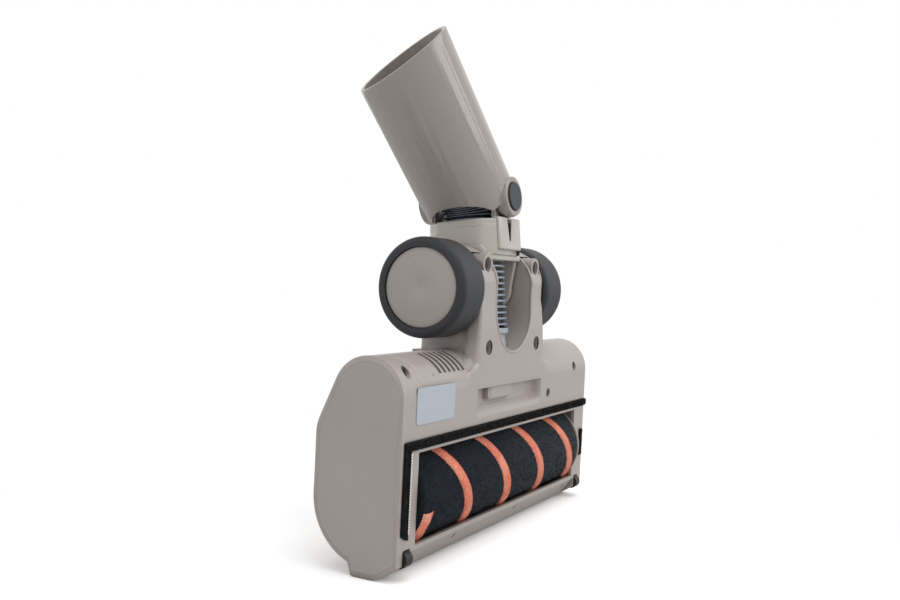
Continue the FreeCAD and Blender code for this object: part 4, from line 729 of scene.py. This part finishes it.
def foot_flare(height, depth):
    """How far the foot spreads sideways where the leg leaves the rounded heel."""
    sag = max(HEEL_R ** 2 - (HEEL_FRONT - min(depth, HEEL_FRONT)) ** 2, 0)
    rise = max(height - HEEL_Z - math.sqrt(sag), 0)
    flare = 0.014 - 0.009 * smooth((depth - 0.004) / 0.009) - 0.0048 * smooth((depth - 0.013) / 0.008)
    return flare - math.sqrt(max(flare ** 2 - max(flare - rise, 0) ** 2, 0))


def leg_side(height, depth):
    """Half the fork's width, with its low pad and its foot."""
    foot = foot_flare(height, depth)
    if height < PAD_TOP:
        pad = 0.004 * (PAD_TOP - max(height, 0.0995)) / 0.029 + 0.0006
    else:
        pad = 0.0006 * (1 - smooth((height - PAD_TOP) / 0.012))
    return FORK_HALF + 0.00005 + max(foot, pad * (1 - smooth((depth - 0.009) / 0.004)))


def slot_edge(height):
    """Half the slot's width at a height."""
    if height < SLOT_MIDDLE - SLOT_HALF:
        return 0
    return math.sqrt(SLOT_HALF ** 2 - max(SLOT_MIDDLE - height, 0) ** 2)


for side, sign in (("left", -1), ("right", 1)):
    rows = []
    for step in range(LEG_STEPS + 1):
        height = LEG_LOW + LEG_RISE * step / LEG_STEPS
        front = leg_front(height)
        turn = 0.0025 + 0.0055 * smooth((height - 0.132) / 0.015)
        wide = turn + 0.85 * foot_flare(height, front + turn)
        sag = HEEL_R ** 2 - min(max(height - HEEL_Z, 0), HEEL_R) ** 2
        deep = min(turn, max(HEEL_FRONT - math.sqrt(sag) - front, 0.00004))
        inner = slot_edge(height)
        outer = leg_side(height, front + turn)
        row = [(sign * (inner + (outer - wide - inner) * part / 36), front) for part in range(37)]
        for part in range(1, 13):
            angle = math.radians(90 * part / 12)
            row.append((sign * (outer - wide + wide * math.sin(angle)),
                        front + deep - deep * math.cos(angle)))
        for part in range(1, 15):
            depth = front + turn + (LEG_BACK - front - turn) * part / 14
            row.append((sign * leg_side(height, depth), depth))
        rows.append([(across, depth - SET_BACK, height) for across, depth in row])
    mesh = sheet_mesh(side + "_leg_front", rows)
    shape = bmesh.new()
    shape.from_mesh(mesh)
    middle = Vector((sign * HOLE.x, HOLE.y))
    gone = [face for face in shape.faces if face.calc_center_median().y < FORK_FACE - SET_BACK
            and (face.calc_center_median().xz - middle).length < HOLE_R]
    bmesh.ops.delete(shape, geom=gone, context="FACES")
    for vertex in shape.verts:
        away = vertex.co.xz - middle
        if vertex.is_boundary and 0.003 < away.length < 0.0056 and vertex.co.y < FORK_FACE - SET_BACK:
            away = away.normalized() * HOLE_R
            vertex.co.x = middle.x + away.x
            vertex.co.z = middle.y + away.y
    shape.to_mesh(mesh)
    shape.free()
    place_piece(side + "_leg_front", mesh, "housing", greige_abs)


def bead(name, path, radius, body, finish):
    """A round bead along a path, closed at both ends."""
    sides = 10
    rows = []
    for index, point in enumerate(path):
        ahead = (path[min(index + 1, len(path) - 1)] - path[max(index - 1, 0)]).normalized()
        across = ahead.cross(Vector((0, 1, 0))) if abs(ahead.y) < 0.8 else ahead.cross(Vector((1, 0, 0)))
        across.normalize()
        over = ahead.cross(across)
        size = radius * (0.02 if index in (0, len(path) - 1) else 1)
        rows.append([point + (across * math.cos(math.tau * part / sides)
                              + over * math.sin(math.tau * part / sides)) * size for part in range(sides)])
    place_piece(name, sheet_mesh(name, rows, closed=True), body, finish)


# Over the fork's round top, down the left of the slot, round its bottom, and up the right.
bead_x = SLOT_HALF + BEAD_GAP
path = []
for step in range(9):
    angle = math.radians(140 + 30 * step / 8)
    path.append(Vector((-bead_x, WHEEL_Y + FORK_R * math.cos(angle), WHEEL_Z + FORK_R * math.sin(angle))))
for step in range(9):
    height = 0.1475 - 0.015 * step / 8
    path.append(Vector((-bead_x, leg_front(height) + BEAD_PROUD, height)))
for step in range(1, 40):
    angle = math.pi * (1 + step / 40)
    height = SLOT_MIDDLE + bead_x * math.sin(angle)
    path.append(Vector((bead_x * math.cos(angle), leg_front(height) + BEAD_PROUD, height)))
path += [Vector((-point.x, point.y, point.z)) for point in reversed(path[:17])]
bead("fork_slot_bead", [point - Vector((0, SET_BACK, 0)) for point in path], BEAD_R, "housing", greige_abs)

# Neck
# One smooth eight-sided sleeve with a ledge that climbs towards the lock block.
NECK_SIDE_MM = ((14.6, -21.2), (22, -14), (22, 13), (11.5, 24.6), (0, 24.6))
SKIN_MM = 0.25
NECK_CORNER = 0.0026
NECK_LOW = 0.0192
NECK_RISE = 0.0209
NECK_TOP = 0.0401
NECK_STEPS = 44
EDGE = 0.0007
LEDGE = 0.0011


def rounded_line(corners, radius):
    """An open line through the corners, with each inner corner rounded."""
    steps = 5
    out = [corners[0]]
    for before, corner, after in zip(corners, corners[1:], corners[2:]):
        first = corner + (before - corner).normalized() * radius
        last = corner + (after - corner).normalized() * radius
        for step in range(steps + 1):
            share = step / steps
            out.append(first.lerp(corner, share).lerp(corner.lerp(last, share), share))
    return out + [corners[-1]]


grown = [Vector((x + SKIN_MM, y + (SKIN_MM if y > 0 else -SKIN_MM))) / 1000 for x, y in NECK_SIDE_MM]
grown[-1].x = 0
line = rounded_line(grown, NECK_CORNER)
rows = []
for step in range(NECK_STEPS + 1):
    height = NECK_LOW + NECK_RISE * step / NECK_STEPS
    top = smooth((NECK_TOP - height) / EDGE)
    row = []
    for sign in (-1, 1):
        for spot in line if sign < 0 else line[::-1][1:]:
            climb = (0.0344 + 0.0017 * min((0.013 - spot.y) / 0.027, 1)
                     + 0.0034 * smooth((-0.013 - spot.y) / 0.009))
            ledge = smooth((climb - height) / EDGE)
            share = 1 + (LEDGE * ledge - 0.0005 * (1 - top)) / spot.length
            row.append(PIVOT + LEAN @ Vector((sign * spot.x * share, spot.y * share, height)))
    rows.append(row)
place_piece("neck_sleeve", sheet_mesh("neck_sleeve", rows), "neck", neck_abs)

# Lock slot
# A dark film on the far wall of the V in the lock block stands for its shade.
LOCK_LOW = 0.1729
LOCK_RISE = 0.0109
rows = []
for step in range(13):
    height = LOCK_LOW + LOCK_RISE * step / 12
    front = -0.01264 - 0.11 * (0.184 - height)
    across = 0.00184 + 0.155 * (height - 0.1785)
    rows.append([(across, front + 0.0005 + 0.003 * part / 4, height) for part in range(5)])
place_piece("lock_slot_shade", sheet_mesh("lock_slot_shade", rows), "neck", vent_shade)

# Wheel faces
# Each hub cap has a smooth face with one fine raised ring.
for side, sign in (("left", -1), ("right", 1)):
    low, high = (Vector(corner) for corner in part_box(side + "_wheel_cap"))
    face = low.x if sign < 0 else high.x
    rim = (high.z - low.z) / 2
    ring = 0.8 * rim
    under = face - sign * 0.0003
    flat = face + sign * 0.00006
    raised = face + sign * 0.00016
    lathe(side + "_hub_face", (low + high) / 2, [
        (under, 0.00002), (flat, 0.00002), (flat, 0.0001), (flat, ring - 0.0003), (flat, ring),
        (raised, ring + 0.0002), (raised, ring + 0.0005), (flat, ring + 0.0007), (flat, ring + 0.001),
        (flat, 0.92 * rim), (flat, 0.93 * rim), (under, 0.94 * rim),
    ], side + "_wheel", hub_abs)

# Flock strips
# Each strip is a low cushion of glued flock with its fibres standing out of the front.
far_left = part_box("left_seal_strip")[0][0]
for count, name in enumerate(("rear_seal_strip", "left_seal_strip", "right_seal_strip")):
    mesh = merged_copy(name)
    for vertex in mesh.vertices:
        vertex.co.x = max(vertex.co.x, far_left)
    strip = place_piece(name + "_flock", mesh, "housing", black_flock, smooth_faces=False)
    plant_pile(strip, per_mm2=9.0, length_mm=0.6, thick_mm=0.1, spread=0.5, seed=11 + count,
               fibre=black_flock)
    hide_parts(name)

# Pinked edge of the backing tape beside the left strip
TEETH = 28
TOOTH_HALF = 0.0009
low, high = (Vector(corner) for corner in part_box("left_seal_strip"))
shape = bmesh.new()
bottom = low.z + 0.003
pitch = (high.z - 0.001 - bottom) / TEETH
for depth, turned in ((low.y - 0.0004, False), (low.y + 0.0001, True)):
    for tooth in range(TEETH):
        base = bottom + tooth * pitch
        corners = [(high.x - TOOTH_HALF, base), (high.x + TOOTH_HALF, base + pitch / 2),
                   (high.x - TOOTH_HALF, base + pitch)]
        if turned:
            corners.reverse()
        shape.faces.new([shape.verts.new((across, depth, up)) for across, up in corners])
bmesh.ops.remove_doubles(shape, verts=shape.verts, dist=0.00001)
mesh = bpy.data.meshes.new("left_seal_pinked_edge")
shape.to_mesh(mesh)
shape.free()
place_piece("left_seal_pinked_edge", mesh, "housing", backing, smooth_faces=False)

# Camera
# It looks from beyond the left end, a little above the floor, and leans by a few degrees.
EYE_PLACE = (-0.52233, -0.25299, 0.14986)
azimuth, elevation, roll = (math.radians(angle) for angle in (-61.96, 1.37, 2.78))
back = Vector((math.sin(azimuth) * math.cos(elevation), -math.cos(azimuth) * math.cos(elevation),
               math.sin(elevation)))
right = (-back).cross(Vector((0, 0, 1))).normalized()
up = right.cross(-back)
leaned_right = right * math.cos(roll) + up * math.sin(roll)
leaned_up = up * math.cos(roll) - right * math.sin(roll)
eye = bpy.data.objects.new("eye", bpy.data.cameras.new("eye"))
eye.data.lens = 38.4
eye.data.sensor_width = 36
eye.data.clip_start = 0.01
eye.data.clip_end = 50
eye.matrix_world = Matrix((
    (leaned_right.x, leaned_up.x, back.x, EYE_PLACE[0]),
    (leaned_right.y, leaned_up.y, back.y, EYE_PLACE[1]),
    (leaned_right.z, leaned_up.z, back.z, EYE_PLACE[2]),
    (0, 0, 0, 1),
))
bpy.context.scene.collection.objects.link(eye)
bpy.context.scene.camera = eye


# Studio


def softbox(name, place, aim, size, power):
    """A square white lamp of a width in metres and a power in watts, which faces a point."""
    lamp = bpy.data.lights.new(name, "AREA")
    lamp.shape = "SQUARE"
    lamp.size = size
    lamp.energy = power
    holder = bpy.data.objects.new(name, lamp)
    holder.location = place
    holder.rotation_euler = (Vector(aim) - Vector(place)).to_track_quat("-Z", "Y").to_euler()
    bpy.context.scene.collection.objects.link(holder)


softbox("front_softbox", (0.7, -1.7, 0.9), aim=(0, 0, 0.12), size=1.2, power=13)
softbox("left_softbox", (-1.7, 0.1, 0.9), aim=(0, 0, 0.12), size=1.0, power=4)
softbox("top_softbox", (-0.2, -0.3, 1.7), aim=(0, 0, 0.1), size=1.2, power=8)

world = bpy.data.worlds.new("studio")
world.use_nodes = True
world.node_tree.nodes.clear()
rays = add(world.node_tree, "ShaderNodeLightPath")
seen = add(world.node_tree, "ShaderNodeMath", {0: rays.outputs["Is Camera Ray"],
                                               1: rays.outputs["Is Glossy Ray"]}, operation="MAXIMUM")
seen = add(world.node_tree, "ShaderNodeMath", {0: seen.outputs["Value"],
                                               1: rays.outputs["Is Transmission Ray"]}, operation="MAXIMUM")
level = add(world.node_tree, "ShaderNodeMapRange", {"Value": seen.outputs["Value"], "To Min": 0.62,
                                                    "To Max": 1.0})
sky = add(world.node_tree, "ShaderNodeBackground", {"Color": (1, 1, 1, 1),
                                                    "Strength": level.outputs["Result"]})
add(world.node_tree, "ShaderNodeOutputWorld", {"Surface": sky.outputs["Background"]})
bpy.context.scene.world = world
bpy.context.scene.view_settings.view_transform = "Standard"

floor_paint, tree = new_material("white_floor_paint")
place = add(tree, "ShaderNodeTexCoord").outputs["Object"]
reach = add(tree, "ShaderNodeVectorMath", {0: place}, operation="LENGTH")
fade = add(tree, "ShaderNodeMapRange", {"Value": reach.outputs["Value"], "From Min": 0.1, "From Max": 0.3},
           interpolation_type="SMOOTHSTEP")
rays = add(tree, "ShaderNodeLightPath")
shine = add(tree, "ShaderNodeMapRange", {"Value": rays.outputs["Is Camera Ray"], "To Min": 0.72,
                                         "To Max": 1.35})
paint = add(tree, "ShaderNodeBsdfDiffuse", {"Color": shine.outputs["Result"]})
glow = add(tree, "ShaderNodeEmission", {"Color": (1, 1, 1, 1), "Strength": 1.0})
near = add(tree, "ShaderNodeMath", {0: fade.outputs["Result"], 1: rays.outputs["Is Camera Ray"]},
           operation="MULTIPLY")
mix = add(tree, "ShaderNodeMixShader", {0: near.outputs["Value"], 1: paint.outputs["BSDF"],
                                        2: glow.outputs["Emission"]})
add(tree, "ShaderNodeOutputMaterial", {"Surface": mix.outputs["Shader"]})
FLOOR_REACH = 8
FLOOR_LEVEL = -0.0005
mesh = bpy.data.meshes.new("floor")
mesh.from_pydata([(across * FLOOR_REACH, away * FLOOR_REACH, FLOOR_LEVEL)
                  for across, away in ((-1, -1), (1, -1), (1, 1), (-1, 1))], [], [(0, 1, 2, 3)])
mesh.materials.append(floor_paint)
floor = bpy.data.objects.new("floor", mesh)
bpy.context.scene.collection.objects.link(floor)
